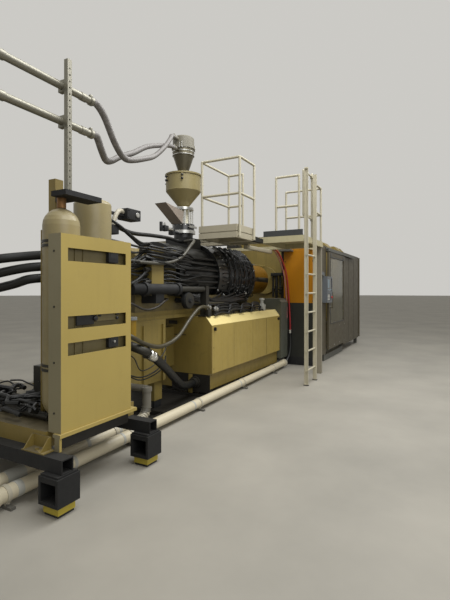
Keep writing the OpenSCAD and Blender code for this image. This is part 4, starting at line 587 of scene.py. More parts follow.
def add_crimp(mesh, at, along, d):
    """A crimped sleeve with its hexagon nut. It starts at the fitting and runs onto the hose."""
    along = Vector(along).normalized()
    r = d / 2
    sleeve = [(0, r * 0.9), (0.1 * d, r * 0.95), (0.14 * d, r * 1.28), (0.7 * d, r * 1.28),
              (0.75 * d, r * 1.2), (0.8 * d, r * 1.28), (1.3 * d, r * 1.28), (1.36 * d, r * 1.2),
              (1.9 * d, r * 1.24), (1.96 * d, r * 1.02)]
    nut_end = Vector(at) + along * 0.5 * d
    mesh.tube([Vector(at), nut_end], r * 1.5, 6)
    mesh.turned(nut_end, along, sleeve, 14)


def hose_bundle(name, routes, finish, body="root", span=None, replaces=(), sides=10):
    """Hoses of one colour as one piece: routes are (points, diameter). With a span it rides on no body."""
    mesh = Part()
    for points, d in routes:
        mesh.tube(smooth_path(points, 7), d / 2, sides)
    piece = mesh.place(name, finish, None if span else body)
    if replaces:
        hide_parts(*replaces)
    if span:
        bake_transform(piece)


def crimps(name, ends, body="root", finish="dark_steel"):
    """Crimped ends: (place, direction onto the hose, hose diameter)."""
    mesh = Part()
    for at, along, d in ends:
        add_crimp(mesh, at, along, d)
    mesh.place(name, finish, body)


def lerp(a, b, t):
    """The value at share t of the way from a to b."""
    return a + (b - a) * t


def sag(a, b, drop):
    """The route of a hose that sags between two fittings along X and leaves them straight."""
    a, b = Vector(a), Vector(b)
    lead = Vector((0.025, 0, 0))
    inner = [(a + lead).lerp(b - lead, i / 6) - Vector((0, 0, drop * 4 * i / 6 * (1 - i / 6)))
             for i in range(7)]
    return [a] + inner + [b]


# Height of the screw's axis and of the wide base; the faces that the hoses join on the supply side and on
# the carriage; and the stretch along X that the hoses between them cross
AXIS_Z = 1.74
BASE_TOP = 1.14
FEED_HEADER = (-6.2197, -0.57)
PORT_X0, PORT_X1, PORT_Y = -5.1303, -4.8897, -0.56
SPAN = (-6.1, -5.26)


def make_feed_hoses():
    """The dense bundle that crosses from the accumulators to the sliding carriage."""
    thick, thin_d = 0.042, 0.026
    main, ends_root, ends_carriage = [], [], []
    for k in range(6):
        a = (FEED_HEADER[0], FEED_HEADER[1] + 0.026 + (k % 2) * 0.048, 1.6 + k * 0.09)
        b = (PORT_X0, PORT_Y + 0.03 + (k % 2) * 0.06, 1.62 + k * 0.076)
        route = sag(a, b, 0.11 + (k % 3) * 0.05)
        main.append((route, thick))
        ends_root.append((a, (1, 0, -0.05), thick))
        ends_carriage.append((b, (-1, 0, -0.05), thick))
    thin = []
    for k in range(9):
        a = (FEED_HEADER[0], FEED_HEADER[1] + draw(0.01, 0.09), 1.62 + k * 0.06)
        b = (PORT_X0 - 0.001, PORT_Y + draw(0.01, 0.11), 1.6 + k * 0.055)
        mid = (-5.68, PORT_Y - 0.06 - draw(0, 0.08), lerp(a[2], b[2], 0.5) - draw(0.0, 0.2))
        thin.append(([a, (a[0] + 0.14, a[1], a[2] - 0.01), mid, (b[0] - 0.16, b[1] - 0.01, b[2] - 0.02), b],
                     thin_d))
    hose_bundle("feed_hose_bundle", main, "black_hose", span=SPAN, replaces=["feed_hoses"])
    hose_bundle("feed_lines", thin, "black_hose", span=SPAN, sides=8)
    crimps("feed_root_crimps", ends_root, "root")
    crimps("feed_port_crimps", ends_carriage, "carriage")


def make_carriage_hoses():
    """Hoses from the port block along the feed section to the barrel guard."""
    main, ends = [], []
    r = 0.501
    for k in range(6):
        a = math.radians(-22 + k * 10.4)
        y, z = -r * math.cos(a), AXIS_Z + r * math.sin(a)
        y0, z0 = PORT_Y + 0.03 + (k % 2) * 0.036, 1.61 + k * 0.076
        route = [(PORT_X1, y0, z0), (PORT_X1 + 0.06, y0, z0),
                 (-4.596, lerp(y0, y, 0.7) - 0.014, lerp(z0, z, 0.6)), (-4.34, y, z), (-3.788, y - 0.006, z),
                 (-3.44, y, z), (-3.3803, y, z)]
        main.append((route, 0.04))
        ends.append((route[0], AHEAD, 0.04))
    hose_bundle("carriage_hose_bundle", main, "black_hose", "carriage", replaces=["carriage_hoses"])
    crimps("carriage_crimps", ends, "carriage")

    # Hoses over the top of the housing that end on the feed section
    top = []
    for k in range(6):
        z0 = 2.045 - k * 0.036
        y0 = -0.585 - (k % 2) * 0.03
        dx = draw(-0.06, 0.06)
        top.append(([(PORT_X0 - 0.06 + dx, PORT_Y + 0.04, z0 + 0.02), (PORT_X0 + 0.02 + dx, y0, z0),
                     (-4.9, y0, z0 - 0.012), (-4.64, y0 + 0.03, z0 - draw(0.01, 0.05)),
                     (-4.46, -0.5 - draw(0, 0.04), z0 - 0.02), (-4.2, -0.48, z0 - draw(0, 0.04)),
                     (-4.04, -0.448, z0 - 0.05)], rng.choice((0.026, 0.03, 0.034))))
    hose_bundle("housing_hoses", top, "black_hose", "carriage", sides=8)

    # Loose control cables across the feed section and the front of the housing
    thin = []
    for k in range(10):
        z = 1.6 + k * 0.05
        x1 = -3.9 + draw(-0.3, 0.35)
        out = math.sqrt(max(0.0, 0.482 ** 2 - (z - AXIS_Z) ** 2))
        thin.append(([(PORT_X1 - 0.001, PORT_Y + 0.02, z), (PORT_X1 + 0.13, PORT_Y - 0.02, z + 0.01),
                      (-4.52, -0.6 - draw(0, 0.03), z - draw(0.0, 0.1)),
                      (x1 - 0.22, -out - 0.055, z + draw(-0.08, 0.05)), (x1, -out, z)],
                     rng.choice((0.014, 0.018, 0.022))))
    hose_bundle("carriage_lines", thin, "cable_black", "carriage", sides=8)


def make_long_hoses():
    """Single hoses that stand out against the bundle, from the supply side to the carriage."""
    x0 = FEED_HEADER[0]
    pale = [(x0, -0.53, 1.875), (-6.1, -0.54, 1.87), (-5.8, -0.585, 1.855), (-5.536, -0.6, 1.846),
            (-5.29, -0.61, 1.842), (-5.02, -0.61, 1.848), (-4.78, -0.605, 1.88), (-4.6, -0.6, 1.935),
            (-4.44, -0.585, 2.015), (-4.281, -0.56, 2.124), (-4.1, -0.5, 2.205), (-3.943, -0.4, 2.255),
            (-3.86, -0.28, 2.265), (-3.8105, -0.16, 2.265)]
    hose_bundle("supply_hose", [(pale, 0.044)], "pale_hose", span=SPAN)
    crimps("supply_crimps", [(pale[0], AHEAD, 0.044)], "root", "bright_steel")

    top = [(-6.26, -0.52, 2.1403), (-6.26, -0.52, 2.2), (-6.22, -0.51, 2.29), (-6.08, -0.48, 2.355),
           (-5.88, -0.43, 2.345), (-5.553, -0.36, 2.265), (-5.198, -0.3, 2.222), (-4.73, -0.25, 2.246),
           (-4.3, -0.2, 2.262), (-3.98, -0.12, 2.262), (-3.8105, -0.09, 2.262)]
    second = [(-6.27, -0.545, 2.1403), (-6.27, -0.55, 2.19), (-6.2, -0.56, 2.28), (-6.03, -0.58, 2.31),
              (-5.753, -0.61, 2.215), (-5.553, -0.6, 2.13), (-5.35, -0.58, 2.068), (-5.18, -0.55, 2.08),
              (-5.06, -0.52, 2.0603)]
    third = [(x + 0.05, y + 0.07, z - 0.01 if z < 2.13 else z + 0.012) for x, y, z in second[1:-1]]
    third = [(-6.22, -0.48, 2.1403)] + third + [(-5.0, -0.46, 2.0603)]
    hose_bundle("overhead_hose", [(top, 0.052)], "black_hose", span=SPAN)
    hose_bundle("crossing_hoses", [(second, 0.03), (third, 0.03)], "black_hose", span=SPAN)

    brown = [(x0, -0.545, 1.515), (-6.12, -0.56, 1.505), (-5.93, -0.68, 1.43), (-5.727, -0.75, 1.375),
             (-5.494, -0.75, 1.301), (-5.27, -0.735, 1.315), (-5.093, -0.7, 1.369), (-4.96, -0.66, 1.398),
             (-4.86, -0.6, 1.405), (-4.8, -0.52, 1.405), (-4.79, -0.4505, 1.405)]
    hose_bundle("drain_hose", [(brown, 0.026)], "brown_hose", span=SPAN)

    olive = [(x0, -0.53, 1.195), (-6.12, -0.545, 1.19), (-5.93, -0.68, 1.12), (-5.774, -0.8, 1.026),
             (-5.564, -0.81, 0.929), (-5.325, -0.81, 0.871), (-5.086, -0.79, 0.885), (-4.9, -0.78, 0.94),
             (-4.798, -0.77, 0.991), (-4.607, -0.75, 1.116), (-4.45, -0.735, 1.205), (-4.3, -0.72, 1.268),
             (-4.17, -0.71, 1.285), (-4.02, -0.705, 1.262)]
    hose_bundle("loop_hose", [(olive, 0.05)], "olive_hose")
    thick = [(-5.455, -0.795, 0.792), (-5.378, -0.79, 0.755), (-5.08, -0.73, 0.58), (-4.8, -0.665, 0.4),
             (-4.55, -0.6, 0.26), (-4.32, -0.55, 0.205), (-4.092, -0.53, 0.205)]
    hose_bundle("floor_hose", [(thick, 0.104)], "black_hose", sides=16)
    mesh = Part()
    along = Vector(thick[0]) - Vector(thick[1])
    start = Vector(thick[1])
    mesh.turned(start, along, [(0, 0.054), (0.01, 0.06), (0.05, 0.06), (0.055, 0.056), (0.06, 0.06),
                               (0.12, 0.06), (0.125, 0.052), (0.15, 0.052)], 18)
    mesh.place("floor_hose_crimp", "bright_steel")
    mesh = Part()
    top_end = start + along.normalized() * 0.15
    mesh.tube(smooth_path([top_end, top_end + along.normalized() * 0.08, (-5.66, -0.72, 0.905),
                           (-5.645, -0.6, 0.91), (-5.64, -0.4505, 0.91)], 5), 0.05, 14)
    mesh.turned(top_end - along.normalized() * 0.004, along, [(0, 0.064), (0.036, 0.064), (0.04, 0.052)], 6)
    mesh.turned((-5.64, -0.4505, 0.91), OUT, head(0.085, 0.03, 0.06), 20)
    mesh.turned((-4.0905, -0.53, 0.205), -AHEAD, stepped(0.082, 0.026, 0.064, 0.09), 20)
    mesh.place("floor_hose_fittings", "dark_steel")


def make_base_fittings():
    """Valves, elbows and short hoses on top of the wide base, beside the sliding carriage."""
    bright, dark, hoses = Part(), Part(), []
    for x, y, high in ((-4.03, -0.7, 0.125), (-3.8, -0.69, 0.095)):
        dark.box((x - 0.045, y - 0.035, BASE_TOP + 0.0003), (x + 0.045, y + 0.035, BASE_TOP + high - 0.02),
                 0.005)
        bright.turned((x - 0.06, y, BASE_TOP + high), AHEAD,
                      [(0, 0.018), (0.004, 0.03), (0.04, 0.03), (0.044, 0.024), (0.07, 0.024),
                       (0.074, 0.034), (0.112, 0.034), (0.116, 0.02)], 6)
        bright.turned((x, y, BASE_TOP + high), UP, stepped(0.026, 0.03, 0.016, 0.05), 6)
    for k in range(20):
        x0 = -3.9 + k * 0.085
        x1 = x0 + draw(0.35, 0.6)
        y = -0.735 + (k % 5) * 0.042
        z = BASE_TOP + 0.024 + (k % 4) * 0.036
        d = rng.choice((0.026, 0.034, 0.042))
        hoses.append(([(x0, y, BASE_TOP + d * 0.4), (x0 + 0.05, y - 0.005, z),
                       (lerp(x0, x1, 0.5), y + 0.015, z + 0.02), (x1 - 0.05, y - 0.01, z),
                       (x1, y - 0.01, BASE_TOP + d * 0.4)], d))
    bright.place("base_valve_nuts", "bright_steel")
    dark.place("base_valves", "dark_steel")
    hose_bundle("base_hoses", hoses, "black_hose", sides=8)

    # Pale valve body under the front end of the barrel guard
    mesh = Part()
    mesh.box((-2.03, -0.7, BASE_TOP + 0.0003), (-1.9, -0.6, BASE_TOP + 0.11), 0.008)
    mesh.turned((-1.965, -0.65, BASE_TOP + 0.11), UP,
                [(0, 0.045), (0.02, 0.045), (0.024, 0.03), (0.08, 0.03), (0.084, 0.052), (0.115, 0.052),
                 (0.12, 0.02)], 12)
    mesh.place("base_pressure_valve", "pale_valve")


def make_underside_hoses():
    """Hoses that loop from the pull-in cylinder and the port block back under the barrel guard."""
    guard_r, pin_x, pin_z = 0.5303, -4.468, 1.379
    widths = (0.024, 0.03, 0.036)
    black, olive, ends = [], [], []
    for k in range(14):
        z0 = 1.462 + k * 0.008
        start = (-4.66 + 0.03 * (k % 3), -0.452, z0)
        low = 1.39 - 0.022 * (k % 5)
        y = -0.49 - 0.014 * (k % 5)
        end_x = -3.2 + k * 0.085
        a = math.radians(118 + (k % 5) * 5)
        end = (end_x, -math.sin(a) * guard_r, AXIS_Z + math.cos(a) * guard_r)
        route = [start, (start[0] + 0.1, y + 0.02, z0 - 0.01), (-4.3, y, low + 0.05), (-3.95, y - 0.01, low),
                 (lerp(-3.95, end_x, 0.5), y - 0.015, low - 0.004),
                 (end_x - 0.14, end[1] - 0.045, end[2] - 0.04), end]
        (olive if k in (3, 8) else black).append((route, widths[k % 3]))
        ends.append((end, (-0.6, -0.75, -0.5), widths[k % 3]))
    for k in range(9):
        d = (0.04, 0.052, 0.046)[k % 3]
        x0, x1 = -3.92 + k * 0.05, -2.42 + k * 0.045
        y = -0.47 - 0.022 * (k % 4)
        z = 1.335 + 0.02 * (k % 3)
        a = math.radians(136 + (k % 4) * 5)
        end = (x1, -math.sin(a) * guard_r, AXIS_Z + math.cos(a) * guard_r)
        black.append(([(x0 - 0.3, -0.452, 1.452), (x0 - 0.16, y + 0.01, 1.4), (x0, y, z),
                       (lerp(x0, x1, 0.35), y - 0.01, z - 0.01), (lerp(x0, x1, 0.7), y - 0.005, z - 0.006),
                       (x1 - 0.16, end[1] - 0.06, min(end[2] - 0.075, 1.36)), end], d))
    hose_bundle("underside_hoses", black, "black_hose", "carriage", sides=8)
    hose_bundle("underside_olive", olive, "olive_hose", "carriage", sides=8)
    crimps("underside_crimps", ends[1::3], "carriage", "bright_steel")
    # Round clevis of the pull-in cylinder on its axle, and the pleated boot behind the cylinder
    mesh, rim = Part(), Part()
    mesh.turned((pin_x, -0.4503, pin_z), OUT, [(0, 0.032), (0.165, 0.032)], 14)
    mesh.turned((pin_x, -0.61, pin_z), OUT,
                [(0, 0.104), (0.004, 0.11), (0.055, 0.11), (0.06, 0.1), (0.061, 0.07), (0.05, 0.066)], 28)
    rim.turned((pin_x, -0.6705, pin_z), OUT, [(0, 0.101), (0.003, 0.104), (0.01, 0.104), (0.012, 0.096)], 28)
    mesh.turned((pin_x, -0.66, pin_z), OUT, stepped(0.04, 0.028, 0.028, 0.045, 0.002), 8)
    pleats = [(0.0, 0.05)]
    for i in range(12):
        pleats += [(0.004 + i * 0.022, 0.064), (0.015 + i * 0.022, 0.054)]
    for s in (-1, 1):
        mesh.turned((-5.335, s * 0.64, 1.53), -AHEAD, pleats, 20)
    mesh.place("pull_in_clevis", "black_paint", "carriage")
    rim.place("pull_in_clevis_rim", "dark_steel", "carriage")


def make_rear_hoses():
    """Three thick hoses from the accumulators' manifold across the skid to the far side."""
    routes, ends = [], []
    for k in range(3):
        x, z, y0, y1 = -7.155 + k * 0.085, 1.83 - k * 0.1, -0.69, 0.9297
        route = [(-6.6203, y0, z), (-6.66, y0, z), (-6.71 - k * 0.008, y0 + 0.04 - k * 0.005, z - 0.004),
                 (-6.83, y0 + 0.16 - k * 0.02, z - 0.02), (x + 0.13, y0 + 0.33 - k * 0.025, z - 0.06),
                 (x + 0.02, y0 + 0.6 - k * 0.03, z - 0.13), (x, 0.25, z - 0.235), (x, 0.62, z - 0.32),
                 (x, y1 - 0.06, z - 0.34), (x, y1, z - 0.34)]
        routes.append((route, 0.078))
        ends.append((route[0], -AHEAD, 0.06))
        ends.append((route[-1], OUT, 0.072))
    hose_bundle("rear_hose_bundle", routes, "black_hose", replaces=["rear_hoses"], sides=14)
    crimps("rear_crimps", ends, "root")


def make_skid_pipes():
    """Return pipes across the skid behind the rack, their couplings, and cables that lie on them."""
    skid_top = 0.5303
    mesh = Part()
    for x, d in ((-6.975, 0.062), (-6.89, 0.05), (-6.8, 0.07), (-6.7, 0.056)):
        z = skid_top + d * 0.1
        mesh.tube([(x, -1.02 + (x + 6.975), z), (x + 0.05, 0.98, z)], d / 2, 14)
        for y in (-0.62, -0.1, 0.45):
            mesh.turned((x + 0.025, y, z), -OUT, band(0.053, d * 0.5, d * 0.66, 0.003), 14)
    mesh.place("skid_pipes", "dark_steel")
    mesh = Part()
    for k in range(60):
        x, y = draw(-7.08, -6.62), draw(-0.92, 0.8)
        z = 0.556 + 0.012 * (k % 7)
        turn = draw(0, 6.28)
        line = [(x, y, z)]
        for i in range(4):
            turn += draw(-1.1, 1.1)
            x = min(-6.58, max(-7.1, x + 0.11 * math.cos(turn)))
            y = min(0.92, max(-0.95, y + 0.11 * math.sin(turn)))
            line.append((x, y, z + draw(-0.012, 0.03)))
        mesh.tube(smooth_path(line, 4), rng.choice((0.008, 0.012, 0.018, 0.022)), 7)
    mesh.place("skid_cables", "cable_black")


def make_overhead_valve():
    """Valve block with a round gauge on an arm over the feed header, and its pale elbow."""
    mesh = Part()
    mesh.box((-6.285, -0.545, 2.1403), (-6.245, -0.505, 2.37), 0.003)
    mesh.box((-6.285, -0.545, 2.34), (-5.59, -0.505, 2.37), 0.003)
    mesh.box((-5.61, -0.6, 2.31), (-5.385, -0.45, 2.432), 0.004)
    mesh.box((-5.85, -0.6, 2.12), (-5.745, -0.5, 2.215), 0.006)
    for x in (-5.585, -5.41):
        for z in (2.33, 2.412):
            mesh.turned((x, -0.6, z), OUT, head(0.009, 0.005, 0.005, 0.001), 6)
    mesh.place("overhead_valve", "black_paint")
    mesh = Part()
    gauge = [(0, 0.031), (0.006, 0.031), (0.012, 0.027), (0.014, 0.016)]
    mesh.turned((-5.445, -0.6003, 2.373), OUT, gauge, 20)
    mesh.place("overhead_valve_caps", "bright_steel")
    mesh = Part()
    line = [(-5.609, -0.53, 2.388), (-5.65, -0.535, 2.396), (-5.705, -0.545, 2.375), (-5.755, -0.552, 2.315),
            (-5.785, -0.555, 2.25), (-5.795, -0.555, 2.214)]
    mesh.tube(smooth_path(line, 7), 0.026, 14)
    mesh.place("overhead_elbow", "pale_band")


def make_rack_details():
    """Sheet that closes the rack behind its slots, with valve coils and fittings that show in them."""
    sheet = -1.288
    back, dark, steel, plate = Part(), Part(), Part(), Part()
    for z0, z1 in ((1.7, 1.88), (1.2, 1.385), (1.0, 1.19)):
        back.box((-7.11, sheet, z0), (-6.426, -1.284, z1), 0.0005)
        for x in (-6.98, -6.9):
            back.box((x, -1.296, z0), (x + 0.004, sheet, z1))
        for x0, x1 in ((-7.1308, -7.11), (-6.426, -6.4052)):
            dark.box((x0, -1.29, z0 + 0.01), (x1, -1.28, z0 + 0.03))
    for z in (1.807, 1.12):
        dark.box((-6.655, -1.322, z - 0.065), (-6.545, sheet, z + 0.065), 0.004)
        dark.box((-6.64, -1.324, z - 0.03), (-6.56, -1.322, z + 0.03))
    dark.box((-6.975, -1.308, 1.255), (-6.8, sheet, 1.375), 0.003)
    plate.box((-6.78, -1.306, 1.275), (-6.56, sheet, 1.35), 0.003)
    for x, z, r in ((-6.79, 1.3, 0.02), (-6.745, 1.322, 0.012), (-6.55, 1.335, 0.022), (-6.55, 1.29, 0.012)):
        dark.turned((x, -1.306, z), OUT, head(r, 0.012, r * 0.7, 0.004), 12)
    steel.turned((-6.6, -1.324, 1.1), OUT, head(0.01, 0.012, 0.006), 8)
    back.place("rack_backing", "slot_olive")
    dark.place("rack_coils", "black_plastic")
    plate.place("rack_plate", "slot_olive")
    steel.place("rack_fitting", "bright_steel")


# Barrel guard: plugs, cables and wire loops

DRUM_X, DRUM_END, DRUM_R = -3.38, -1.985, 0.53
CABLE_R = 0.0065
ROWS = [-2.93 + k * 0.19 for k in range(5)]


def on_drum(x, degrees, lift):
    """A point round the barrel guard and above it, measured from the top towards the operator."""
    a = math.radians(degrees)
    return Vector((x, -math.sin(a) * (DRUM_R + lift), AXIS_Z + math.cos(a) * (DRUM_R + lift)))


def outward(degrees):
    """The direction straight out of the barrel guard."""
    return on_drum(0, degrees, 1) - on_drum(0, degrees, 0)


def make_plugs():
    """Heater plugs in rings round the guard: a steel socket, a nut, a clamp, and a cable that bends back."""
    steel, black = Part(), Part()
    for x in ROWS:
        for degrees in [s * a for s in (-1, 1) for a in range(30, 151, 15)]:
            base, out = on_drum(x, degrees, 0.0003), outward(degrees)
            steel.turned(base, out, [(0, 0.021), (0.005, 0.021), (0.005, 0.0145), (0.016, 0.0145),
                                     (0.016, 0.017), (0.026, 0.017), (0.028, 0.012)], 8)
            black.turned(base + out * 0.027, out,
                         [(0, 0.016), (0.006, 0.018), (0.018, 0.018), (0.022, 0.01)], 8)
            top = base + out * 0.048
            swing = math.copysign(draw(3, 9), degrees)
            back = draw(0.045, 0.085)
            black.tube(smooth_path([top, top + out * 0.012,
                                    on_drum(x - back * 0.4, degrees + swing * 0.3, 0.068),
                                    on_drum(x - back, degrees + swing, 0.04),
                                    on_drum(x - 0.075, degrees + swing * 1.6, 0.018)], 3), CABLE_R, 6)
    plugs = steel.place("heater_plugs", "bright_steel", "carriage")
    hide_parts("heater_connectors")
    black.place("plug_cables", "cable_black", "carriage")


def make_cable_rings():
    """Bundled cables that follow each ring of plugs, run back along the guard and loop over its front."""
    mesh = Part()
    for x in ROWS + [-2.045]:
        for k in range(4):
            for side in (-1, 1):
                line = [on_drum(x - 0.075 + 0.006 * math.sin(a / 9 + k * 1.7) + 0.007 * (k % 2), side * a,
                                0.013 + 0.007 * k) for a in range(20, 159, 6)]
                mesh.tube(line, CABLE_R, 6)
    for k in range(16):
        degrees = 150 - k * 7.2
        x, line = ROWS[0] - 0.03, []
        while x > DRUM_X + 0.05:
            line.append(on_drum(max(x, DRUM_X + 0.02), degrees + draw(-2.0, 2.0), 0.012))
            x -= 0.15
        mesh.tube(smooth_path(line, 4), rng.choice((0.006, 0.009, 0.011)), 6)
    for k in range(34):
        x = draw(ROWS[0] - 0.02, -2.1)
        degrees = draw(38, 140) * (1 if k % 4 else -1)
        line = [on_drum(x, degrees, 0.01), on_drum(x + 0.03, degrees + 4, 0.045),
                on_drum(x + 0.09, degrees + 9, 0.07), on_drum(x + 0.15, degrees + 12, 0.045),
                on_drum(x + 0.17, degrees + 15, 0.01)]
        mesh.tube(smooth_path(line, 4), rng.choice((0.006, 0.008)), 6)
    mesh.place("guard_cables", "cable_black", "carriage")


def make_band_clamps():
    """Clamp screws of the guard's seam bands, and sensors and clips along its side."""
    mesh = Part()
    for x in (DRUM_X + 0.02, DRUM_X + 0.6975, DRUM_END - 0.04):
        for degrees in (35, 75, 115, -35, -75, -115):
            mesh.turned(on_drum(x, degrees, 0.0063), outward(degrees),
                        [(0, 0.014), (0.004, 0.014), (0.004, 0.009), (0.014, 0.009), (0.016, 0.006)], 6)
    for x, degrees in ((-3.17, 52), (-3.15, 58), (-3.18, 68), (-3.1, 100), (-3.16, -55), (-3.12, -95)):
        mesh.turned(on_drum(x, degrees, 0.0003), outward(degrees),
                    [(0, 0.012), (0.006, 0.012), (0.008, 0.008), (0.02, 0.008), (0.022, 0.004)], 8)
    mesh.place("guard_screws", "bright_steel", "carriage")


# Hopper, throat and loader


def make_hopper_details():
    """Toggle clips of the hopper, rods and ring round the sight glass, bolts of the throat rings, valve of
    the slide gate.
    """
    axis = Vector((-3.61, 0, 0))
    black, steel = Part(), Part()
    for clip_at in (100, 150, 210, 330, 30):
        out = ring(1, clip_at)[0]
        for z in (3.232, 3.285):
            black.turned(axis + UP * z + out * 0.2755, out,
                         [(0, 0.018), (0.02, 0.018), (0.024, 0.012), (0.04, 0.012), (0.043, 0.006)], 8)
    for out in ring(12, 15):
        steel.turned(axis + UP * 2.4563 + out * 0.172, UP,
                     [(0, 0.0001), (0.0001, 0.009), (0.006, 0.009), (0.0062, 0.0001)], 6)
    for out in ring(16):
        steel.turned(axis + UP * 2.541 + out * 0.1752, out, head(0.008, 0.004, 0.004, 0.0005), 6)
    for out in ring(24):
        steel.turned(axis + UP * 3.3453 + out * 0.283, UP, head(0.006, 0.004, 0.003, 0.0005), 6)
    # Pull cylinder of the slide gate and its valve, on the side that faces the accumulators
    black.turned((-3.99, -0.06, 2.395), AHEAD,
                 [(0, 0.022), (0.012, 0.026), (0.11, 0.026), (0.115, 0.018), (0.18, 0.018)], 12)
    for lo, hi, bevel in (((-4.345, -0.115, 2.365), (-4.31, -0.08, 2.5), 0.004),
                          ((-4.29, -0.14, 2.375), (-4.2, -0.06, 2.455), 0.006),
                          ((-4.06, -0.11, 2.345), (-3.99, -0.03, 2.44), 0.006)):
        black.box(lo, hi, bevel)
    steel.turned((-4.325, -0.1, 2.395), AHEAD, [(0, 0.014), (0.036, 0.014)], 8)
    steel.turned((-4.202, -0.1, 2.415), AHEAD, stepped(0.03, 0.05, 0.022, 0.145), 12)
    steel.turned((-4.245, -0.1, 2.455), UP, stepped(0.02, 0.03, 0.012, 0.045), 8)
    for out in ring(8, 22.5):
        steel.turned(axis + UP * 2.5568 + out * 0.15, UP, [(0, 0.0075), (0.228, 0.0075)], 8)
    steel.turned(axis + UP * 2.784, UP, band(0.013, 0.138, 0.164, 0.001), 40)
    black.place("throat_valve", "black_plastic", "carriage")
    steel.place("throat_bolts", "bright_steel", "carriage")
    mesh, loader_r = Part(), 0.1706
    for z in (3.646, 3.7, 3.744):
        mesh.turned(axis + UP * z, UP, band(0.012, loader_r, loader_r + 0.005), 40)
    for out in ring(3, 200):
        at, side, high = axis + UP * 3.735 + out * 0.187, UP.cross(out) * 0.02, UP * 0.1
        mesh.tube([at + side, at + side + high, at - side + high, at - side], 0.005, 6)
    mesh.place("loader_clips", "bright_steel", "carriage")


# Between the bases, the platform and the clamp guards


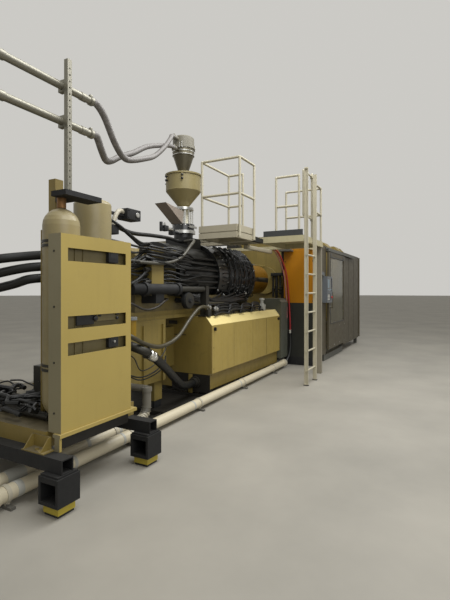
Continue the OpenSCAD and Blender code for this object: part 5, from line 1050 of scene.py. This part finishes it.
def make_clamp_side():
    """Hoses that hang beside the platen, the lamp under the platform, and hardware on the guards."""
    # Just clear of the platen, of the platform's beams, and of the guards' long sides and ends
    platen, beam, face, end_face = -0.3105, 2.2997, 1.4003, -1.0003
    red = [(-1.5697, -0.7, 2.33), (-1.5, -0.715, 2.325), (-1.38, -0.74, 2.27), (-1.25, -0.77, 2.14),
           (-1.13, -0.8, 1.947), (-1.075, -0.83, 1.7), (-1.045, -0.85, 1.357), (-1.04, -0.87, 1.0),
           (-1.04, -0.88, 0.7)]
    pink = [(x - 0.03, y + 0.04, z) for x, y, z in red[1:-2]]
    pink = [(-1.5697, -0.66, 2.33)] + pink + [(-1.08, -0.822, 1.1), (-1.085, -0.825, 0.95)]
    hose_bundle("coolant_hose", [(red, 0.034)], "red_hose")
    hose_bundle("coolant_return", [(pink, 0.024)], "pink_hose")
    low = [(-1.04, -0.88, 0.64), (-1.045, -0.885, 0.5), (-1.07, -0.89, 0.34), (-1.12, -0.88, 0.2),
           (-1.22, -0.86, 0.1), (-1.3497, -0.845, 0.09)]
    dark = [([(-1.04 + k * 0.05, -0.7, beam), (-1.04 + k * 0.05, -0.705, 2.12),
              (-1.01 + k * 0.05, -0.7, 1.92), (-0.9 + k * 0.02, -0.69, 1.75),
              (-0.76, -0.62, 1.64 - k * 0.04), (-0.58, -0.52, 1.58 - k * 0.05),
              (platen, -0.26 - k * 0.03, 1.6 - k * 0.06)], 0.022) for k in range(3)]
    hose_bundle("platen_hoses", [(low, 0.04)] + dark, "black_hose", sides=8)
    mesh = Part()
    mesh.turned((-1.04, -0.88, 0.715), -UP, [(0, 0.024), (0.004, 0.03), (0.07, 0.03), (0.074, 0.022)], 6)
    mesh.turned((-1.5697, -0.7, 2.33), AHEAD, stepped(0.034, 0.03, 0.028, 0.07), 6)
    mesh.turned((-1.5697, -0.66, 2.33), AHEAD, stepped(0.02, 0.03, 0.016, 0.05), 6)
    mesh.place("coolant_fittings", "bright_steel")
    mesh = Part()
    mesh.box((-1.2, -0.9397, beam), (-1.006, -0.69, 2.34), 0.004)
    mesh.box((-1.05, -0.725, beam), (-0.35, -0.675, 2.335), 0.004)
    mesh.place("hose_rail", "frame_grey")

    # Manifold and pipes on the face of the fixed platen, and rubber skirts under the end guards
    mesh = Part()
    mesh.box((-0.415, -0.56, 1.835), (platen, -0.2, 1.905), 0.006)
    mesh.box((-0.4, -0.62, 1.3), (platen, -0.44, 1.56), 0.006)
    mesh.turned((-0.42, -0.5, 1.905), UP, stepped(0.03, 0.05, 0.02, 0.12, 0.005), 10)
    for y, z0, r in ((-0.24, 1.36, 0.02), (-0.32, 1.3, 0.03), (-0.41, 1.42, 0.022), (-0.5, 1.55, 0.026)):
        mesh.tube([(-0.362, y, 1.84), (-0.362, y, z0)], r, 12)
        mesh.turned((-0.362, y, z0 + 0.16), UP, band(0.053, r, r * 1.35, 0.003), 8)
    mesh.place("platen_manifold", "dark_and_painted_shade")
    mesh = Part()
    for side in (-1, 1):
        y0, y1 = sorted((side * 0.735, side * 1.395))
        mesh.box((-0.998, y0, 0.004), (-0.99, y1, 0.1797), 0.001)
        for k in range(9):
            y = y0 + 0.04 + k * 0.072
            mesh.box((-1.0015, y, 0.006), (-0.998, y + 0.008, 0.178))
    mesh.place("guard_skirts", "tyre_black")

    # Lamp housing under the platform, hung from the beams
    mesh = Part()
    mesh.box((-2.74, -0.715, 2.222), (-1.585, -0.645, 2.292), 0.012)
    for x in (-2.685, -1.605):
        mesh.box((x - 0.015, -0.705, 2.29), (x + 0.015, -0.655, beam), 0.001)
    mesh.place("platform_lamp", "lamp_white")

    # Bolts, hinges and seams of the guards
    bolts, seams = Part(), Part()
    for s in (-1, 1):
        y0, y1 = sorted((s * face, s * (face + 0.003)))
        for x0, x1 in ((-1.0, -0.21), (1.37, 3.3)):
            count = 3 if x1 < 1 else 6
            for i in range(count):
                x = lerp(x0 + 0.05, x1 - 0.05, i / (count - 1))
                for z in (0.19, 2.43):
                    bolts.turned((x, s * face, z), (0, s, 0), head(0.013, 0.005, 0.007), 8)
            for x in ((x0 + x1) / 2,) if count == 3 else (lerp(x0, x1, 1 / 3), lerp(x0, x1, 2 / 3)):
                seams.box((x - 0.004, y0, 0.2), (x + 0.004, y1, 2.42))
        for z in (0.55, 1.3, 2.1):
            for y in (1.34, 0.76):
                bolts.turned((end_face, s * y, z), -AHEAD, head(0.013, 0.005, 0.007), 8)
    bolts.place("guard_bolts", "dark_steel")
    seams.place("guard_seams", "seam_dark")


def make_gate_details():
    """Window gasket, handle plates and roller covers of the two sliding gates."""
    face = 1.4543
    for body, s in (("front_gate", -1), ("back_gate", 1)):
        mesh = Part()
        y0, y1 = sorted((s * face, s * (face + 0.004)))
        for x0, z0, x1, z1 in ((-0.07, 0.78, 1.25, 0.8), (-0.07, 2.23, 1.25, 2.25),
                               (-0.07, 0.8, -0.05, 2.23), (1.23, 0.8, 1.25, 2.23)):
            mesh.box((x0, y0, z0), (x1, y1, z1))
        for x in (-0.02, 1.18):
            mesh.box((x - 0.045, y0, 2.262), (x + 0.045, y1, 2.322), 0.001)
        mesh.box((-0.16, y0, 1.02), (-0.07, y1, 1.08), 0.001)
        mesh.place(body + "_gasket", "black_plastic", body)
        mesh = Part()
        for x in (-0.15, 0.3, 0.78, 1.28):
            for z in (0.3, 0.7):
                mesh.turned((x, s * face, z), (0, s, 0), head(0.011, 0.004, 0.006), 8)
        for z in (1.15, 1.45):
            mesh.turned((-0.11, s * face, z), (0, s, 0), head(0.024, 0.005, 0.014), 12)
        mesh.place(body + "_screws", "bright_steel", body)


def make_panel_details():
    """Keys of the operator's panel, and two pale marks on its screen."""
    keys, pale = Part(), Part()
    for i in range(4):
        for j in range(4):
            x, z = -0.635 + i * 0.04, 1.315 + j * 0.03
            keys.box((x, -1.549, z), (x + 0.026, -1.5453, z + 0.018), 0.002)
    pale.box((-0.632, -1.5435, 1.515), (-0.348, -1.5423, 1.535))
    pale.box((-0.632, -1.5435, 1.565), (-0.5, -1.5423, 1.74))
    keys.place("panel_keys", "white_plastic", "panel")
    pale.place("panel_screen_marks", "screen_glow", "panel")


def make_cabinet_details():
    """Grip edge, seams and screws of the wide base, and bolts of the rack."""
    end, front = -4.0903, -0.8003
    dark, steel = Part(), Part()
    for lo, hi, bevel in (((-4.0945, -0.215, 1.02), (end, -0.065, 1.072), 0.001),
                          ((-4.0925, -0.37, 0.862), (end, -0.165, 0.874), 0),
                          ((-4.0915, -0.17, 0.868), (end, 0.06, 0.872), 0),
                          ((-2.1025, -0.8015, 0.35), (-2.0985, front, 1.01), 0),
                          ((-3.4, -0.801, 0.35), (-3.3985, front, 1.015), 0),
                          ((-2.7, -0.801, 0.35), (-2.6985, front, 1.015), 0)):
        dark.box(lo, hi, bevel)
    dark.place("cabinet_lines", "seam_dark")
    for x in (-4.04, -1.46):
        for z in (0.4, 0.7):
            steel.turned((x + (0.005 if x < -3 else -0.005), front, z), OUT,
                         head(0.007, 0.002, 0.004, 0.001), 8)
    for z in (0.64, 1.0, 1.4, 1.8):
        steel.turned((-7.1363, -1.26, z), -AHEAD, head(0.008, 0.004, 0.004, 0.001), 6)
    steel.place("cabinet_screws", "dark_steel")


def make_underframe():
    """Painted shadow low on the end face of the base, with its leg, and dark oil trays under the rear bed,
    partly painted shade.
    """
    end = -4.0903
    mesh, leg = Part(), Part()
    # A thin near-black sheet and strips on the end face, low down: the painted shadow of a recess.
    mesh.box((end - 0.0022, -0.77, 0.06), (end, -0.12, 0.318))
    for y in (-0.7, -0.3):
        mesh.box((-4.0945, y, 0.075), (end - 0.0022, y + 0.1, 0.3))
    leg.box((-4.1005, -0.48, 0.02), (-4.0926, -0.415, 0.31), 0.001)
    mesh.place("base_painted_shadow", "dark_and_painted_shade")
    leg.place("base_leg", "deep_cream")
    # Thin trays on the floor under the rear bed; their near black is partly painted shade under the bed.
    mesh = Part()
    for x0, x1 in ((-6.1, -5.12), (-5.1, -4.13)):
        mesh.box((x0, -0.7, 0.0003), (x1, 0.72, 0.004))
        for a, c, b, d in ((x0, -0.7, x1, -0.697), (x0, 0.717, x1, 0.72), (x0, -0.7, x0 + 0.003, 0.72),
                           (x1 - 0.003, -0.7, x1, 0.72)):
            mesh.box((a, c, 0.004), (b, d, 0.05))
    mesh.place("oil_trays", "dark_and_painted_shade")


def make_bed_wires():
    """Thin wires that hang in front of the rear bed."""
    mesh = Part()
    for k, (z, drop) in enumerate(((0.6, 0.1), (0.54, 0.07), (0.72, 0.14))):
        line = [(-5.647 + 0.1 * k, -0.4745, z + 0.05), (-5.6 + 0.1 * k, -0.52, z),
                (-5.35, -0.56 - 0.01 * k, z - drop), (-5.05, -0.55, z - drop * 0.8), (-4.8, -0.5, z),
                (-4.73, -0.4745, z + 0.06)]
        mesh.tube(smooth_path(line, 6), 0.009 - 0.001 * k, 7)
    mesh.place("bed_wires", "cable_black")


def make_pipe_bands():
    """Tape bands and foil wraps along the two water pipes."""
    mesh = Part()
    skew = math.radians(1.3)
    along = Vector((math.cos(skew), math.sin(skew), 0))
    side = Vector((-math.sin(skew), math.cos(skew), 0))
    front = Vector((-1.45, -0.87, 0.092))
    for x, offset, wide in ((-5.82, 0, 0.05), (-5.3, 0, 0.03), (-4.7, 0, 0.03), (-3.4, 0, 0.03),
                            (-2.05, 0, 0.03), (-5.75, 0.21, 0.16), (-5.35, 0.21, 0.04), (-4.95, 0.21, 0.04),
                            (-4.52, 0.21, 0.04)):
        mesh.turned(front + along * x + side * offset, along, band(wide + 0.001, 0.0572, 0.0588, 0.001), 28)
    mesh.place("pipe_bands", "pale_valve")


# Floor, backdrop and lamps


def make_stage():
    """A grey workshop floor, and a world that is pale to the camera and soft light to the machine."""
    g = Graph("floor")
    g.put(g.shader.inputs["Base Color"],
          g.mix(g.span(g.noise(0.8, 5), 0.3, 0.7), rgb(156, 152, 142), rgb(138, 135, 126)))
    g.shader.inputs["Roughness"].default_value = 0.6
    mesh = bmesh.new()
    bmesh.ops.create_circle(mesh, cap_ends=True, segments=64, radius=120)
    data = bpy.data.meshes.new("floor")
    mesh.to_mesh(data)
    mesh.free()
    data.materials.append(g.material)
    floor = bpy.data.objects.new("floor", data)
    scene.collection.objects.link(floor)
    floor.location = (-2, 0, -0.001)

    world = bpy.data.worlds.new("world")
    scene.world = world
    world.use_nodes = True
    tree = world.node_tree
    tree.nodes.clear()
    new, link = tree.nodes.new, tree.links.new
    output, switch, path = (new("ShaderNode" + kind) for kind in ("OutputWorld", "MixShader", "LightPath"))
    link(switch.outputs[0], output.inputs[0])
    warm_light, pale_wall = (1.0, 0.965, 0.88, 1), (0.6, 0.59, 0.56, 1)
    for socket, colour, strength in ((1, warm_light, 0.37), (2, pale_wall, 1.0)):
        background = new("ShaderNodeBackground")
        background.inputs["Color"].default_value = colour
        background.inputs["Strength"].default_value = strength
        link(background.outputs[0], switch.inputs[socket])
    rays = path.outputs["Is Camera Ray"]
    for other in ("Is Glossy Ray", "Is Transmission Ray"):
        either = new("ShaderNodeMath")
        either.operation = "MAXIMUM"
        link(rays, either.inputs[0])
        link(path.outputs[other], either.inputs[1])
        rays = either.outputs[0]
    link(rays, switch.inputs[0])
    area_lamp("overhead", (-3.8, -3.2, 7.0), (-3.6, -0.4, 1), (10, 3.5), 700)
    area_lamp("front_fill", (-9.5, -7.5, 4.0), (-5.5, 0, 1.2), (6, 4), 150)


# Build

make_camera()
make_finishes()
dress_nodes()
conveying_hose("conveying_hose_a", HOSE_A, "loader_hose_a")
conveying_hose("conveying_hose_b", HOSE_B, "loader_hose_b")
make_hose_clamps()
make_feed_hoses()
make_carriage_hoses()
make_long_hoses()
make_base_fittings()
make_underside_hoses()
make_rear_hoses()
make_skid_pipes()
make_overhead_valve()
make_plugs()
make_cable_rings()
make_band_clamps()
make_hopper_details()
make_clamp_side()
make_gate_details()
make_panel_details()
make_cabinet_details()
make_underframe()
make_rack_details()
make_bed_wires()
make_pipe_bands()
make_stage()
scene.view_settings.view_transform = "Standard"
